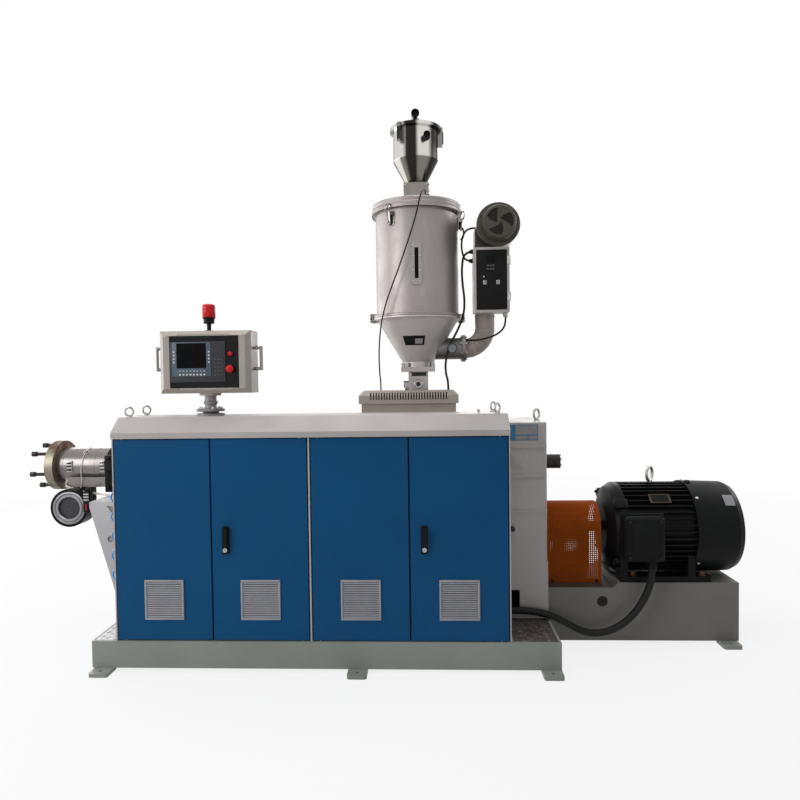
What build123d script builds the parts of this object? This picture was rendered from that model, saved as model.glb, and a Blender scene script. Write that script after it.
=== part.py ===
from build123d import *
import math
import os

os.makedirs("parts", exist_ok=True)

# Working axes: x along the machine from the left edge of door 1, y back from the door fronts, z up from
# the floor.

# Base frame, feet and deck
foot_h = 20
foot_w = 100
foot_out = 72
foot_in = 40
foot_hole_r = 9
foot_round = 14
base_end = 127
base_l = 2426
base_front = -8
base_d = 1008
base_top = 160
rail_web = 10
rail_flange = 60
rail_flange_t = 8
deck_t = 6
cross_t = 10
cross_share = [0.05, 0.32, 0.585, 0.84]
foot_end = [62, 50]
foot_mid_share = 0.573

# Electrical cabinet and its doors
door_z0 = 166
door_h = 1041
door_t = 22
door_skin = 2
door_gap = 7
door_seam = 8
post_w = 8
post_web_d = 44
post_flange_w = 30
post_flange_t = 4
wall_t = 6
cabinet_d = 400
cabinet_back_t = 4
door_clear_top = 6
header_d = 44
header_h = 26
header_y0 = 4
pivot_in = 36
pivot_back = 9
pivot_r = 4
pivot_fit = 0.05
pivot_block = 24
pivot_block_d = 16
pivot_reach = 24

# Louvre grilles and door handles
grille_w = 206
grille_h = 208
grille_z = 272
grille_t = 8
grille_rim = 9
louvre_n = 17
louvre_gap = 5
handle_w = 35
handle_h = 143
handle_z = 614
handle_off = 55
handle_out = 12
lever_out = 14
lever_w = 22
lock_r = 9

# Hood over the cabinet
hood_lip_h = 30
hood_over = 12
hood_rise = 77
hood_front_run = 92
hood_rear_run = 80
hood_t = 3

# Barrel housing behind the cabinet
rear_panel_y = 884
rear_panel_t = 6
rear_panel_h = 596
rear_panel_gap = 6
cover_t = 4
cover_top = 1290
cover_bevel = 90
cover_flange = 60
heater_hole_gap = 12

# Barrel, heater, cooling fan and support
axis_y = 600
barrel_z = 1005
barrel_r = 70
bore_r = 32.5
bore_depth = 220
flange_x0 = -656
flange_t = 50
flange_r = 149
flange_hub_r = 100
flange_hub_l = 14
screw_pcd_r = 121
screw_n = 6
screw_turn = -20
screw_r = 10
screw_out = 74
screw_head_r = 15
screw_head_l = 26
heater_r = 106
heater_l = 540
heater_box_w = 168
heater_box_x0 = -562
heater_box_l = 255
heater_box_drop = 124
fan_x = -503
fan_z = 768
fan_r = 112
fan_front = 440
fan_d = 110
fan_eye_r = 62
fan_duct_w = 110
bracket_top_x = -320
bracket_foot_x = -138
bracket_x1 = -60
bracket_lip = 30
bracket_z1 = 824
bracket_front = 330
bracket_t = 6
bracket_hole_r = 19
bracket_hole_in = 121
bracket_hole_drop = 214
bracket_window_top = 24
bracket_window_h = 98
bracket_window_w = 107
bracket_window_low_w = 40
bracket_window_in = 50
saddle_x0 = -215
saddle_l = 60
saddle_w = 200

# Gearbox
gear_inset = 4
gear_gap = 15
gear_l = 232
gear_front = 330
gear_z0 = 481
gear_z1 = 1256
gear_round = 22
gear_split = [763, 959, 1123]
split_h = 14
split_out = 6
thrust_r = 160
thrust_l = 150
thrust_neck_r = 120
tail_r = 42
tail_l = 121
tail_cap_r = 50
tail_cap_l = 40
pedestal_toe = 2
pedestal_wall = 14
pedestal_hole_in = 16
pedestal_hole_w = 59
pedestal_hole_z = 206
pedestal_hole_h = 113

# Motor, its stand, coupling and guard
shaft_z = 619
shaft_r = 30
motor_gap = 354
bell_l = 95
bell_nose_r = 150
motor_body_l = 375
motor_core_r = 232
motor_r = 258
fin_n = 44
fin_t = 6
cowl_l = 277
cowl_r = 266
cowl_round = 46
cowl_end_r = 200
cowl_step = 8
motor_foot_in = 57
motor_foot_w = 90
motor_foot_t = 32
motor_rail_over = 85
motor_foot_half = 220
motor_web_t = 40
box_in = 48
box_w = 215
box_z0 = 492
box_h = 246
box_round = 18
box_front = 262
box_bevel = 12
box_cover_d = 46
box_flange_out = 8
pad_y = 336
pad_w = 190
stand_l = 1057
stand_step_in = 394
stand_low = 320
stand_top = 347
stand_front = 370
stand_d = 460
stand_wall = 12
stand_hole_in = 306
stand_hole_z = 241
stand_hole_r = 31
stand_foot_in = 60
coupling_r = 78
coupling_neck_r = 45
coupling_gap = 72
coupling_l = 170
guard_in = 14
guard_l = 309
guard_half = 150
guard_t = 3

# Feed section and hopper dryer
hopper_back = 480
feed_left = 343
feed_l = 573
feed_front = 430
feed_d = 340
feed_z1 = 1440
feed_bevel = 28
feed_skirt_in = 14
feed_skirt_h = 74
slot_n = 29
slot_w = 7
slot_pitch = 15.5
slot_in = 66
slot_top = 12
slot_h = 42
slot_d = 30
valve_w = 116
valve_z1 = 1549
valve_plate_w = 198
valve_plate_t = 27
valve_front_w = 74
valve_front_h = 70
valve_front_out = 10
spout_r = 18
spout_out = 26
knob_r = 20
knob_out = 30
outlet_r = 94
outlet_l = 30
hopper_r = 244
hopper_t = 3
cone_top_z = 1850
hopper_rim_r = 264
hopper_rim_t = 15
hopper_z1 = 2468
lid_rim_h = 22
lid_r = 265
lid_top_z = 2571
lid_top_r = 108
window_w = 55
window_h = 239
window_z = 2032
window_out = 8
window_slot_w = 14
window_slot_h = 158
latch_w = 46
latch_out = 30
latch_h = 120
latch_turns = [-125, -5, 115]
clamp_h = 70
clamp_w = 40
clamp_out = 24
clamp_turns = [-172, 8, 98]

# Dryer blower, duct and control box
inlet_z = 1684
inlet_r = 64
inlet_l = 260
inlet_flange_r = 80
inlet_flange_t = 20
duct_out = 398
duct_r = 58
duct_wall = 3
dryer_box_out = 323
dryer_box_w = 204
dryer_box_z0 = 1879
dryer_box_h = 370
dryer_box_d = 102
blower_out = 466
blower_z = 2378
blower_r = 124
blower_front = 440
blower_d = 170
blower_rim_t = 16
blower_drum_r = 118
blower_nose = 68
blower_nose_r = 102
blower_plate_r = 88
blade_r = 76
blade_depth = 9
blade_n = 3
# Outline of one swept opening: share of its radius, and turn in degrees
blade_line = [(1, 95), (0.72, 103), (0.45, 112), (0.27, 135), (0.17, 180), (0.15, 202), (0.3, 193),
              (0.62, 174), (0.85, 163), (1, 156), (1, 141), (1, 126), (1, 110)]
blower_spout = 2

# Vacuum loader
loader_base_w = 146
loader_base_z1 = 2652
loader_cone_r = 59
loader_r = 134
loader_cone_z1 = 2788
loader_z1 = 2962
loader_t = 2
loader_rim_r = 152
loader_rim_h = 18
loader_apex = 3026
loader_crown_r = 40
tube_r = 24
tube_bend = 26
tube_rise = 2
side_tube_r = 18
side_tube_out = 40
side_tube_z = 2893
side_tube_x = 66
clip_w = 26
clip_h = 110
clip_out = 9
clip_turns = [-127, -7, 113]

# Control panel on its swivel post
post_in = 58
post_y = 190
post_plate_r = 74
post_plate_h = 12
post_cone_r = 46
post_cone_h = 40
post_tube_r = 32
post_top_z = 1428
spigot_r = 18
spigot_l = 34
spigot_fit = 0.05
swivel_r = 57
swivel_gap = 0.5
panel_z0 = 1442
panel_w = 490
panel_h = 332
panel_front = 100
panel_d = 158
panel_bevel = 26
panel_face_w = 372
panel_face_h = 276
panel_recess = 12
panel_recess_bevel = 7
panel_face_t = 3
hmi_w = 300
hmi_h = 217
hmi_out = 8
hmi_left = 186
button_x = 140
button_r = 15
button_out = 14
estop_r = 21
estop_out = 32
grip_r = 9
grip_h = 130
grip_out = 40
grip_z = 1562
beacon_r = 36
beacon_h = 72
beacon_base_h = 36
beacon_neck_r = 11
beacon_neck_l = 42

# Lifting eyes
eye_ring_r = 22
eye_wire_r = 5.5
gear_eye_ring_r = 29
gear_eye_wire_r = 7
motor_eye_ring_r = 42
motor_eye_wire_r = 9
eye_turn = 50
eye_collar_r = 15
eye_collar_h = 8
eye_inset_x = 52
eye_front_y = 96
eye_rear_y = 306
motor_eye_in = 292
gear_eye_in = 29
gear_eye_y = 500

# Cables and hose, each as the corner points of its route, from the base's motor end or from the hopper's
# axis
motor_cable_r = 19.5
gland_r = 26
motor_cable_line = [(554, 300, 450), (554, 300, 380), (520, 300, 290), (459, 300, 192), (364, 300, 114),
                    (264, 300, 84), (169, 300, 97),
                    (79, 300, 152), (-11, 300, 194), (-121, 300, 215), (-221, 300, 215)]
loader_cable_r = 4
loader_cable_line = [(55, 527, 2592), (55, 470, 2592), (42, 405, 2566), (26, 326, 2528), (4, 308, 2420),
                     (-30, 312, 2310), (-68, 322, 2205),
                     (-108, 334, 2100), (-146, 352, 2010), (-178, 372, 1925), (-204, 394, 1830),
                     (-218, 412, 1725), (-223, 430, 1620),
                     (-221, 455, 1530), (-217, 470, 1490), (-217, 470, 1440)]
dryer_cable_r = 6.5
dryer_cable_line = [(323, 490, 2234), (272, 490, 2234), (258, 490, 2140), (262, 490, 2050),
                    (274, 490, 1960), (268, 488, 1870),
                    (230, 485, 1780), (182, 485, 1695), (158, 485, 1602), (161, 485, 1530),
                    (174, 485, 1490), (174, 485, 1440)]
hose_r = 4
hose_stub_w = 16
hose_stub_h = 18
hose_stub_l = 28
# From the cabinet's left wall
air_hose_line = [(-18, 60, 960), (-18, 60, 938), (-36.5, 60, 900), (1.5, 60, 848.5), (-36.5, 60, 797),
                 (1.5, 60, 745.5), (-36.5, 60, 694),
                 (1.5, 60, 642.5), (-36.5, 60, 591), (1.5, 60, 539.5), (-36.5, 60, 488), (-18, 60, 450),
                 (-18, 60, 428)]
lead_r = 5.5
plug_r = 13
sensor_lead_line = [(508, 490, 1856), (508, 490, 1815), (485, 492, 1775), (440, 495, 1748),
                    (385, 505, 1733), (335, 525, 1727),
                    (310, 546, 1730), (280, 546, 1730)]
blower_lead_line = [(342, 525, 2378), (300, 525, 2378), (270, 525, 2328), (264, 525, 2275),
                    (268, 525, 2228), (286, 525, 2188),
                    (323, 525, 2188)]

# Values that follow from the ones above
cab_x0 = -door_gap - wall_t
base_x0 = cab_x0 - base_end
base_x1 = base_x0 + base_l
cross_at = [base_x0 + share * base_l for share in cross_share]
foot_at = [base_x0 + foot_end[0], base_x0 + foot_mid_share * base_l, base_x1 - foot_end[1]]
gear_x1 = base_x1 - gear_inset
gear_x0 = gear_x1 - gear_l
cab_x1 = gear_x0 - gear_gap
door_w = (cab_x1 - cab_x0 - 2 * door_seam - 4 * door_gap - post_w - 2 * wall_t) / 4
base_rear = base_front + base_d
deck_z = base_top - deck_t
door_z1 = door_z0 + door_h
door_x = [0, door_w + door_seam, 2 * (door_w + door_gap) + door_seam + post_w]
door_x.append(door_x[2] + door_w + door_seam)
post_x0 = door_x[1] + door_w + door_gap
header_z = door_z1 + door_clear_top
hood_lip_z = header_z + hood_lip_h
hood_top = hood_lip_z + hood_rise
hood_rear = cabinet_d
cover_y1 = rear_panel_y + rear_panel_t
heater_x0 = flange_x0 + flange_t + flange_hub_l
heater_x1 = heater_x0 + heater_l
heater_low = barrel_z - heater_box_drop
barrel_x1 = gear_x0 - thrust_l
gear_d = 2 * (axis_y - gear_front)
motor_x0 = base_x1 + motor_gap
bell_x1 = motor_x0 + bell_l
cowl_x0 = bell_x1 + motor_body_l
cowl_x1 = cowl_x0 + cowl_l
stand_x0 = base_x1
stand_x1 = stand_x0 + stand_l
stand_step_x = stand_x0 + stand_step_in
stand_hole_x = stand_x0 + stand_hole_in
stand_foot_x = stand_x1 - stand_foot_in
coupling_x0 = gear_x1 + coupling_gap
guard_x0 = stand_x0 + guard_in
motor_foot_x0 = motor_x0 + motor_foot_in
box_x0 = motor_x0 + box_in
pedestal_hole_x = gear_x0 + pedestal_hole_in
motor_eye_x = motor_x0 + motor_eye_in
gear_eye_x = gear_x1 - gear_eye_in
post_x = door_x[1] - post_in
hopper_x = gear_x0 - hopper_back
feed_x0 = hopper_x - feed_left
inlet_flange_x = hopper_x + inlet_l
duct_x = hopper_x + duct_out
dryer_box_x0 = hopper_x + dryer_box_out
blower_x = hopper_x + blower_out
motor_cable = [(base_x1 + x, y, z) for x, y, z in motor_cable_line]
air_hose = [(cab_x0 + x, y, z) for x, y, z in air_hose_line]
loader_cable = [(hopper_x + x, y, z) for x, y, z in loader_cable_line]
dryer_cable = [(hopper_x + x, y, z) for x, y, z in dryer_cable_line]
sensor_lead = [(hopper_x + x, y, z) for x, y, z in sensor_lead_line]
blower_lead = [(hopper_x + x, y, z) for x, y, z in blower_lead_line]
hopper_z0 = cone_top_z + 2 * hopper_rim_t
lid_z0 = hopper_z1
outlet_z0 = valve_z1 + valve_plate_t
duct_top = blower_z - blower_r - blower_spout
cone_bot_z = outlet_z0 + outlet_l
screw_tip = flange_x0 - screw_out - screw_head_l
frame_x = (screw_tip + cowl_x1) / 2
frame_y = (base_front + base_rear) / 2


def block(x0, x1, y0, y1, z0, z1):
    return Pos((x0 + x1) / 2, (y0 + y1) / 2, (z0 + z1) / 2) * Box(x1 - x0, y1 - y0, z1 - z0)


def rod(start, way, r, length):
    return Plane(origin=start, z_dir=way) * Cylinder(r, length,
                                                     align=(Align.CENTER, Align.CENTER, Align.MIN))


def along_x(points, x0, x1):
    """Prism of a (y, z) outline from x0 to x1."""
    face = make_face(Polyline([(x0, y, z) for y, z in points], close=True))
    return extrude(face, amount=x1 - x0, dir=(1, 0, 0))


def along_y(points, y0, y1):
    """Prism of an (x, z) outline from y0 to y1."""
    face = make_face(Polyline([(x, y0, z) for x, z in points], close=True))
    return extrude(face, amount=y1 - y0, dir=(0, 1, 0))


def turned_z(points, x, y):
    """Body turned about a vertical axis from an (r, z) outline."""
    face = make_face(Polyline([(r, 0, z) for r, z in points], close=True))
    return Pos(x, y, 0) * revolve(face, Axis.Z)


def turned_y(points, x, z):
    """Body turned about an axis along y from a (y, r) outline."""
    face = make_face(Polyline([(r, y, 0) for y, r in points], close=True))
    return Pos(x, 0, z) * revolve(face, Axis.Y)


def turned_x(points, y, z):
    """Body turned about an axis along x from an (x, r) outline."""
    face = make_face(Polyline([(x, 0, r) for x, r in points], close=True))
    return Pos(0, y, z) * revolve(face, Axis.X)


def save(name, *solids):
    shape = solids[0] if len(solids) == 1 else Compound(children=list(solids))
    export_step(Pos(-frame_x, -frame_y, 0) * shape, f"parts/{name}.step")


def base():
    """Channel rails under a deck plate, with cross members between them."""
    rail = [(0, foot_h), (rail_flange, foot_h), (rail_flange, foot_h + rail_flange_t),
            (rail_web, foot_h + rail_flange_t),
            (rail_web, deck_z - rail_flange_t), (rail_flange, deck_z - rail_flange_t),
            (rail_flange, deck_z), (0, deck_z)]
    members = [along_x([(base_front + y, z) for y, z in rail], base_x0, base_x1)]
    members.append(along_x([(base_rear - y, z) for y, z in rail], base_x0, base_x1))
    gap0 = base_front + rail_flange
    gap1 = base_rear - rail_flange
    left = [(base_x0 + u, z) for u, z in rail]
    right = [(base_x1 - u, z) for u, z in rail]
    members.append(along_y(left, gap0, gap1))
    members.append(along_y(right, gap0, gap1))
    members += [block(x, x + cross_t, gap0, gap1, foot_h, deck_z) for x in cross_at]
    save("base_frame", *members)
    save("deck", block(base_x0, base_x1, base_front, base_rear, deck_z, base_top))


def foot(x, edge, way):
    """Foot pad at an edge of the base, sticking out by foot_out, with an anchor hole."""
    pad = block(x - foot_w / 2, x + foot_w / 2, min(edge - way * foot_in, edge + way * foot_out),
                max(edge - way * foot_in, edge + way * foot_out), 0, foot_h)
    pad = fillet(pad.edges().filter_by(Axis.Z), foot_round)
    return pad - rod((x, edge + way * foot_out / 2, 0), (0, 0, 1), foot_hole_r, foot_h)


def feet():
    pads = [foot(x, base_front, -1) for x in foot_at] + [foot(x, base_rear, 1) for x in foot_at]
    pads += [foot(stand_foot_x, stand_front, -1), foot(stand_foot_x, stand_front + stand_d, 1)]
    save("feet", *pads)


def cabinet():
    """Side walls, middle post, header and back of the electrical cabinet."""
    left = block(cab_x0, cab_x0 + wall_t, 0, cabinet_d, base_top, header_z)
    half = hose_stub_w / 2
    for low in (air_hose[0][2], air_hose[-1][2] - hose_stub_h):
        left += block(cab_x0 - hose_stub_l, cab_x0, air_hose[0][1] - half, air_hose[0][1] + half, low,
                      low + hose_stub_h)
    right = block(cab_x1 - wall_t, cab_x1, 0, cabinet_d, base_top, header_z)
    right += rod((cab_x1, motor_cable[-1][1], motor_cable[-1][2]), (1, 0, 0), gland_r,
                 motor_cable[-1][0] - cab_x1)
    back = block(cab_x0 + wall_t, cab_x1 - wall_t, cabinet_d - cabinet_back_t, cabinet_d, base_top,
                 header_z)
    save("cabinet_walls", left, right, back)
    mid = post_x0 + post_w / 2
    post = block(post_x0, post_x0 + post_w, 0, post_web_d, base_top, header_z)
    post += block(mid - post_flange_w / 2, mid + post_flange_w / 2, post_web_d, post_web_d + post_flange_t,
                  base_top, header_z)
    header = block(cab_x0 + hood_t, cab_x1 - hood_t, header_y0, header_y0 + header_d, header_z,
                   header_z + header_h)
    save("cabinet_frame", post, header)


def pivot_x(k):
    """Pivot line of door k: each pair swings on its two outer edges."""
    return door_x[k] + pivot_in if k % 2 == 0 else door_x[k] + door_w - pivot_in


def doors():
    """Folded trays on pivot pins, each with a grille; the right door of a pair has the swing handle."""
    pins = []
    for k in range(4):
        x = door_x[k]
        tray = block(x, x + door_w, 0, door_t, door_z0, door_z1)
        tray -= block(x + door_skin, x + door_w - door_skin, door_skin, door_t, door_z0 + door_skin,
                      door_z1 - door_skin)
        px = pivot_x(k)
        half = pivot_block / 2
        reach = door_z0 + pivot_reach + door_skin
        top_reach = door_z1 - pivot_reach - door_skin
        tray += block(px - half, px + half, door_skin, door_skin + pivot_block_d, door_z0, reach)
        tray += block(px - half, px + half, door_skin, door_skin + pivot_block_d, top_reach, door_z1)
        tray -= rod((px, pivot_back, door_z0), (0, 0, 1), pivot_r + pivot_fit, pivot_reach)
        tray -= rod((px, pivot_back, door_z1), (0, 0, -1), pivot_r + pivot_fit, pivot_reach)
        gx = x + door_w / 2 - grille_w / 2
        hole = grille_rim
        tray -= block(gx + hole, gx + grille_w - hole, 0, door_skin, grille_z + hole,
                      grille_z + grille_h - hole)
        save(f"door_{k + 1}", tray)
        grille(k, gx)
        pin_l = pivot_reach - door_skin
        pins.append(rod((px, pivot_back, base_top), (0, 0, 1), pivot_r, door_z0 - base_top + pin_l))
        pins.append(rod((px, pivot_back, header_z), (0, 0, -1), pivot_r, header_z - door_z1 + pin_l))
        if k % 2 == 1:
            handle(k)
    save("door_pivots", *pins)


def grille(k, gx):
    """Square louvre plate on the face of door k."""
    plate = block(gx, gx + grille_w, -grille_t, 0, grille_z, grille_z + grille_h)
    plate = chamfer(plate.faces().sort_by(Axis.Y)[0].edges(), grille_t / 2)
    pitch = (grille_h - 2 * grille_rim) / louvre_n
    for i in range(louvre_n):
        z = grille_z + grille_rim + (i + 0.5) * pitch
        plate -= block(gx + grille_rim, gx + grille_w - grille_rim, -grille_t, 0, z - louvre_gap / 2,
                       z + louvre_gap / 2)
    save(f"grille_{k + 1}", plate)


def handle(k):
    """Swing handle: a dish on the door with the folded lever and its lock."""
    hx = door_x[k] + handle_off
    dish = block(hx, hx + handle_w, -handle_out, 0, handle_z, handle_z + handle_h)
    dish = fillet(dish.edges().filter_by(Axis.Y), handle_w / 3)
    mid = hx + handle_w / 2
    lever = block(mid - lever_w / 2, mid + lever_w / 2, -handle_out - lever_out, -handle_out,
                  handle_z + handle_h / 3, handle_z + handle_h - 6)
    lever = fillet(lever.edges().filter_by(Axis.Y), lever_w / 4)
    dish += lever
    dish += rod((mid, -handle_out, handle_z + handle_h / 6), (0, -1, 0), lock_r, lever_out / 2)
    save(f"handle_{k + 1}", dish)


def hood():
    """Folded sheet hood: a lip, a front slope, a flat top and a rear slope."""
    front = -hood_over
    outline = [(front, header_z), (front, hood_lip_z), (front + hood_front_run, hood_top),
               (hood_rear - hood_rear_run, hood_top), (hood_rear, hood_lip_z), (hood_rear, header_z)]
    inner = [(front + hood_t, header_z), (front + hood_t, hood_lip_z - hood_t / 2),
             (front + hood_front_run + hood_t / 2, hood_top - hood_t),
             (hood_rear - hood_rear_run - hood_t / 2, hood_top - hood_t),
             (hood_rear - hood_t, hood_lip_z - hood_t / 2), (hood_rear - hood_t, header_z)]
    save("hood", along_x(outline, cab_x0, cab_x1) - along_x(inner, cab_x0 + hood_t, cab_x1 - hood_t))


def barrel_housing():
    """Rear panels and the folded cover over the barrel behind the cabinet."""
    mid = (cab_x0 + cab_x1) / 2
    z1 = base_top + rear_panel_h
    left = block(cab_x0, mid - rear_panel_gap / 2, rear_panel_y, cover_y1, base_top, z1)
    right = block(mid + rear_panel_gap / 2, cab_x1, rear_panel_y, cover_y1, base_top, z1)
    save("rear_panels", left, right)
    y0 = cabinet_d
    outline = [(y0, header_z - cover_flange), (y0, cover_top), (cover_y1 - cover_bevel, cover_top),
               (cover_y1, cover_top - cover_bevel), (cover_y1, z1)]
    inner = [(cover_y1 - cover_t, z1), (cover_y1 - cover_t, cover_top - cover_bevel - cover_t / 2),
             (cover_y1 - cover_bevel - cover_t / 2, cover_top - cover_t),
             (y0 + cover_t, cover_top - cover_t), (y0 + cover_t, header_z - cover_flange)]
    cover = along_x(outline + inner, cab_x0, gear_x0)
    end = along_x(outline, cab_x0, cab_x0 + cover_t)
    end -= rod((cab_x0, axis_y, barrel_z), (1, 0, 0), heater_r + heater_hole_gap, cover_t)
    throat = rod((hopper_x, axis_y, cover_top - cover_t), (0, 0, 1), outlet_r, cover_t)
    save("barrel_cover", cover + end - throat)


def barrel():
    """Barrel tube with its die flange, the flange screws, heater jacket and cooling fan."""
    tube = turned_x([(flange_x0, bore_r), (flange_x0, flange_r), (flange_x0 + flange_t, flange_r),
                     (flange_x0 + flange_t, flange_hub_r),
                     (heater_x0, flange_hub_r), (heater_x0, barrel_r), (barrel_x1, barrel_r),
                     (barrel_x1, 0),
                     (flange_x0 + bore_depth + bore_r / 2, 0),
                     (flange_x0 + bore_depth, bore_r)], axis_y, barrel_z)
    save("barrel", tube)
    screws = []
    for loc in PolarLocations(screw_pcd_r, screw_n, start_angle=screw_turn):
        p = loc.position
        at = (flange_x0, axis_y - p.X, barrel_z + p.Y)
        screw = rod(at, (-1, 0, 0), screw_r, screw_out)
        screw += rod((at[0] - screw_out, at[1], at[2]), (-1, 0, 0), screw_head_r, screw_head_l)
        screws.append(screw)
    save("flange_screws", *screws)
    jacket = rod((heater_x0, axis_y, barrel_z), (1, 0, 0), heater_r, heater_l)
    jacket += block(heater_box_x0, heater_box_x0 + heater_box_l, axis_y - heater_box_w / 2,
                    axis_y + heater_box_w / 2, heater_low, barrel_z - heater_r / 2)
    jacket -= rod((heater_x0, axis_y, barrel_z), (1, 0, 0), barrel_r, heater_l)
    save("heater_jacket", jacket)
    fan = rod((fan_x, fan_front, fan_z), (0, 1, 0), fan_r, fan_d)
    fan += block(fan_x, fan_x + fan_duct_w, axis_y - heater_box_w / 2, fan_front + fan_d, fan_z, heater_low)
    fan -= rod((fan_x, fan_front, fan_z), (0, 1, 0), fan_eye_r, fan_d / 2)
    save("barrel_fan", fan)


def barrel_support():
    """Folded bracket on the base that carries the barrel, with a saddle under the heater jacket."""
    rear = 2 * axis_y - bracket_front
    t = bracket_t
    outline = [(bracket_foot_x, base_top), (bracket_top_x, bracket_z1 - bracket_lip),
               (bracket_top_x, bracket_z1),
               (bracket_x1, bracket_z1), (bracket_x1, base_top)]
    inner = [(bracket_foot_x + t, base_top), (bracket_top_x + t, bracket_z1 - bracket_lip),
             (bracket_top_x + t, bracket_z1 - t),
             (bracket_x1, bracket_z1 - t), (bracket_x1, base_top)]
    body = along_y(outline, bracket_front, rear) - along_y(inner, bracket_front + t, rear - t)
    body -= rod((bracket_top_x + bracket_hole_in, bracket_front, bracket_z1 - bracket_hole_drop), (0, 1, 0),
                bracket_hole_r, t)
    edge = bracket_x1 - bracket_window_in
    top = bracket_z1 - bracket_window_top
    low = top - bracket_window_h
    body -= along_y([(edge - bracket_window_w, top), (edge, top), (edge, low),
                     (edge - bracket_window_low_w, low)], bracket_front, bracket_front + t)
    saddle = block(saddle_x0, saddle_x0 + saddle_l, axis_y - saddle_w / 2, axis_y + saddle_w / 2,
                   bracket_z1, barrel_z - heater_r / 2)
    body += saddle - rod((heater_x0, axis_y, barrel_z), (1, 0, 0), heater_r, heater_l)
    save("barrel_bracket", body)


def gearbox():
    """Cast gear case with split flanges, thrust housing and tail cap, on a welded pedestal."""
    case = block(gear_x0, gear_x1, gear_front, gear_front + gear_d, gear_z0, gear_z1)
    case = fillet(case.edges().filter_by(Axis.Z), gear_round)
    case = fillet(case.faces().sort_by(Axis.Z)[-1].edges(), gear_round / 3)
    for z in gear_split:
        rib = block(gear_x0, gear_x1, gear_front - split_out, gear_front + gear_d + split_out,
                    z - split_h / 2, z + split_h / 2)
        case += fillet(rib.edges().filter_by(Axis.Z), gear_round)
    case += turned_x([(barrel_x1, 0), (barrel_x1, thrust_neck_r), (gear_x0 - thrust_l / 2, thrust_r),
                      (gear_x0 + gear_round, thrust_r), (gear_x0 + gear_round, 0)], axis_y, barrel_z)
    save("gearbox_case", case)
    tail = rod((gear_x1, axis_y, barrel_z), (1, 0, 0), tail_r, tail_l)
    tail += rod((gear_x1, axis_y, barrel_z), (1, 0, 0), tail_cap_r, tail_cap_l)
    save("gearbox_tail", tail)
    w = pedestal_wall
    outline = [(gear_x0, base_top), (gear_x0, gear_z0), (gear_x1, gear_z0),
               (gear_x1 + pedestal_toe, base_top)]
    inner = [(gear_x0 + w, base_top), (gear_x0 + w, gear_z0 - w), (gear_x1 - w, gear_z0 - w),
             (gear_x1 + pedestal_toe - w, base_top)]
    rear = gear_front + gear_d
    pedestal = along_y(outline, gear_front, rear) - along_y(inner, gear_front + w, rear - w)
    pedestal -= block(pedestal_hole_x, pedestal_hole_x + pedestal_hole_w, gear_front, gear_front + w,
                      pedestal_hole_z, pedestal_hole_z + pedestal_hole_h)
    save("gearbox_pedestal", pedestal)


def drive():
    """Coupling on the input shaft under its bent guard, and the stand for the motor."""
    x1 = coupling_x0 + coupling_l
    save("coupling", turned_x([(gear_x1, 0), (gear_x1, shaft_r), (coupling_x0 - coupling_neck_r, shaft_r),
                               (coupling_x0 - coupling_neck_r, coupling_neck_r),
                               (coupling_x0, coupling_neck_r), (coupling_x0, coupling_r), (x1, coupling_r),
                               (x1, coupling_neck_r),
                               (x1 + coupling_neck_r, coupling_neck_r), (x1 + coupling_neck_r, shaft_r),
                               (motor_x0, shaft_r), (motor_x0, 0)], axis_y, shaft_z))
    guard = rod((guard_x0, axis_y, shaft_z), (1, 0, 0), guard_half, guard_l)
    guard += block(guard_x0, guard_x0 + guard_l, axis_y - guard_half, axis_y + guard_half, stand_low,
                   shaft_z)
    inside = guard_half - guard_t
    guard -= rod((guard_x0, axis_y, shaft_z), (1, 0, 0), inside, guard_l)
    guard -= block(guard_x0, guard_x0 + guard_l, axis_y - inside, axis_y + inside, stand_low, shaft_z)
    save("coupling_guard", guard)
    w = stand_wall
    step = stand_top - stand_low
    outline = [(stand_x0, foot_h), (stand_x0, stand_low), (stand_step_x - step, stand_low),
               (stand_step_x, stand_top), (stand_x1, stand_top), (stand_x1, foot_h)]
    inner = [(stand_x0 + w, foot_h), (stand_x0 + w, stand_low - w),
             (stand_step_x - step / 2, stand_low - w), (stand_x1 - w, stand_low - w),
             (stand_x1 - w, foot_h)]
    rear = stand_front + stand_d
    stand = along_y(outline, stand_front, rear) - along_y(inner, stand_front + w, rear - w)
    save("motor_stand", stand - rod((stand_hole_x, stand_front, stand_hole_z), (0, 1, 0), stand_hole_r, w))


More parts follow.
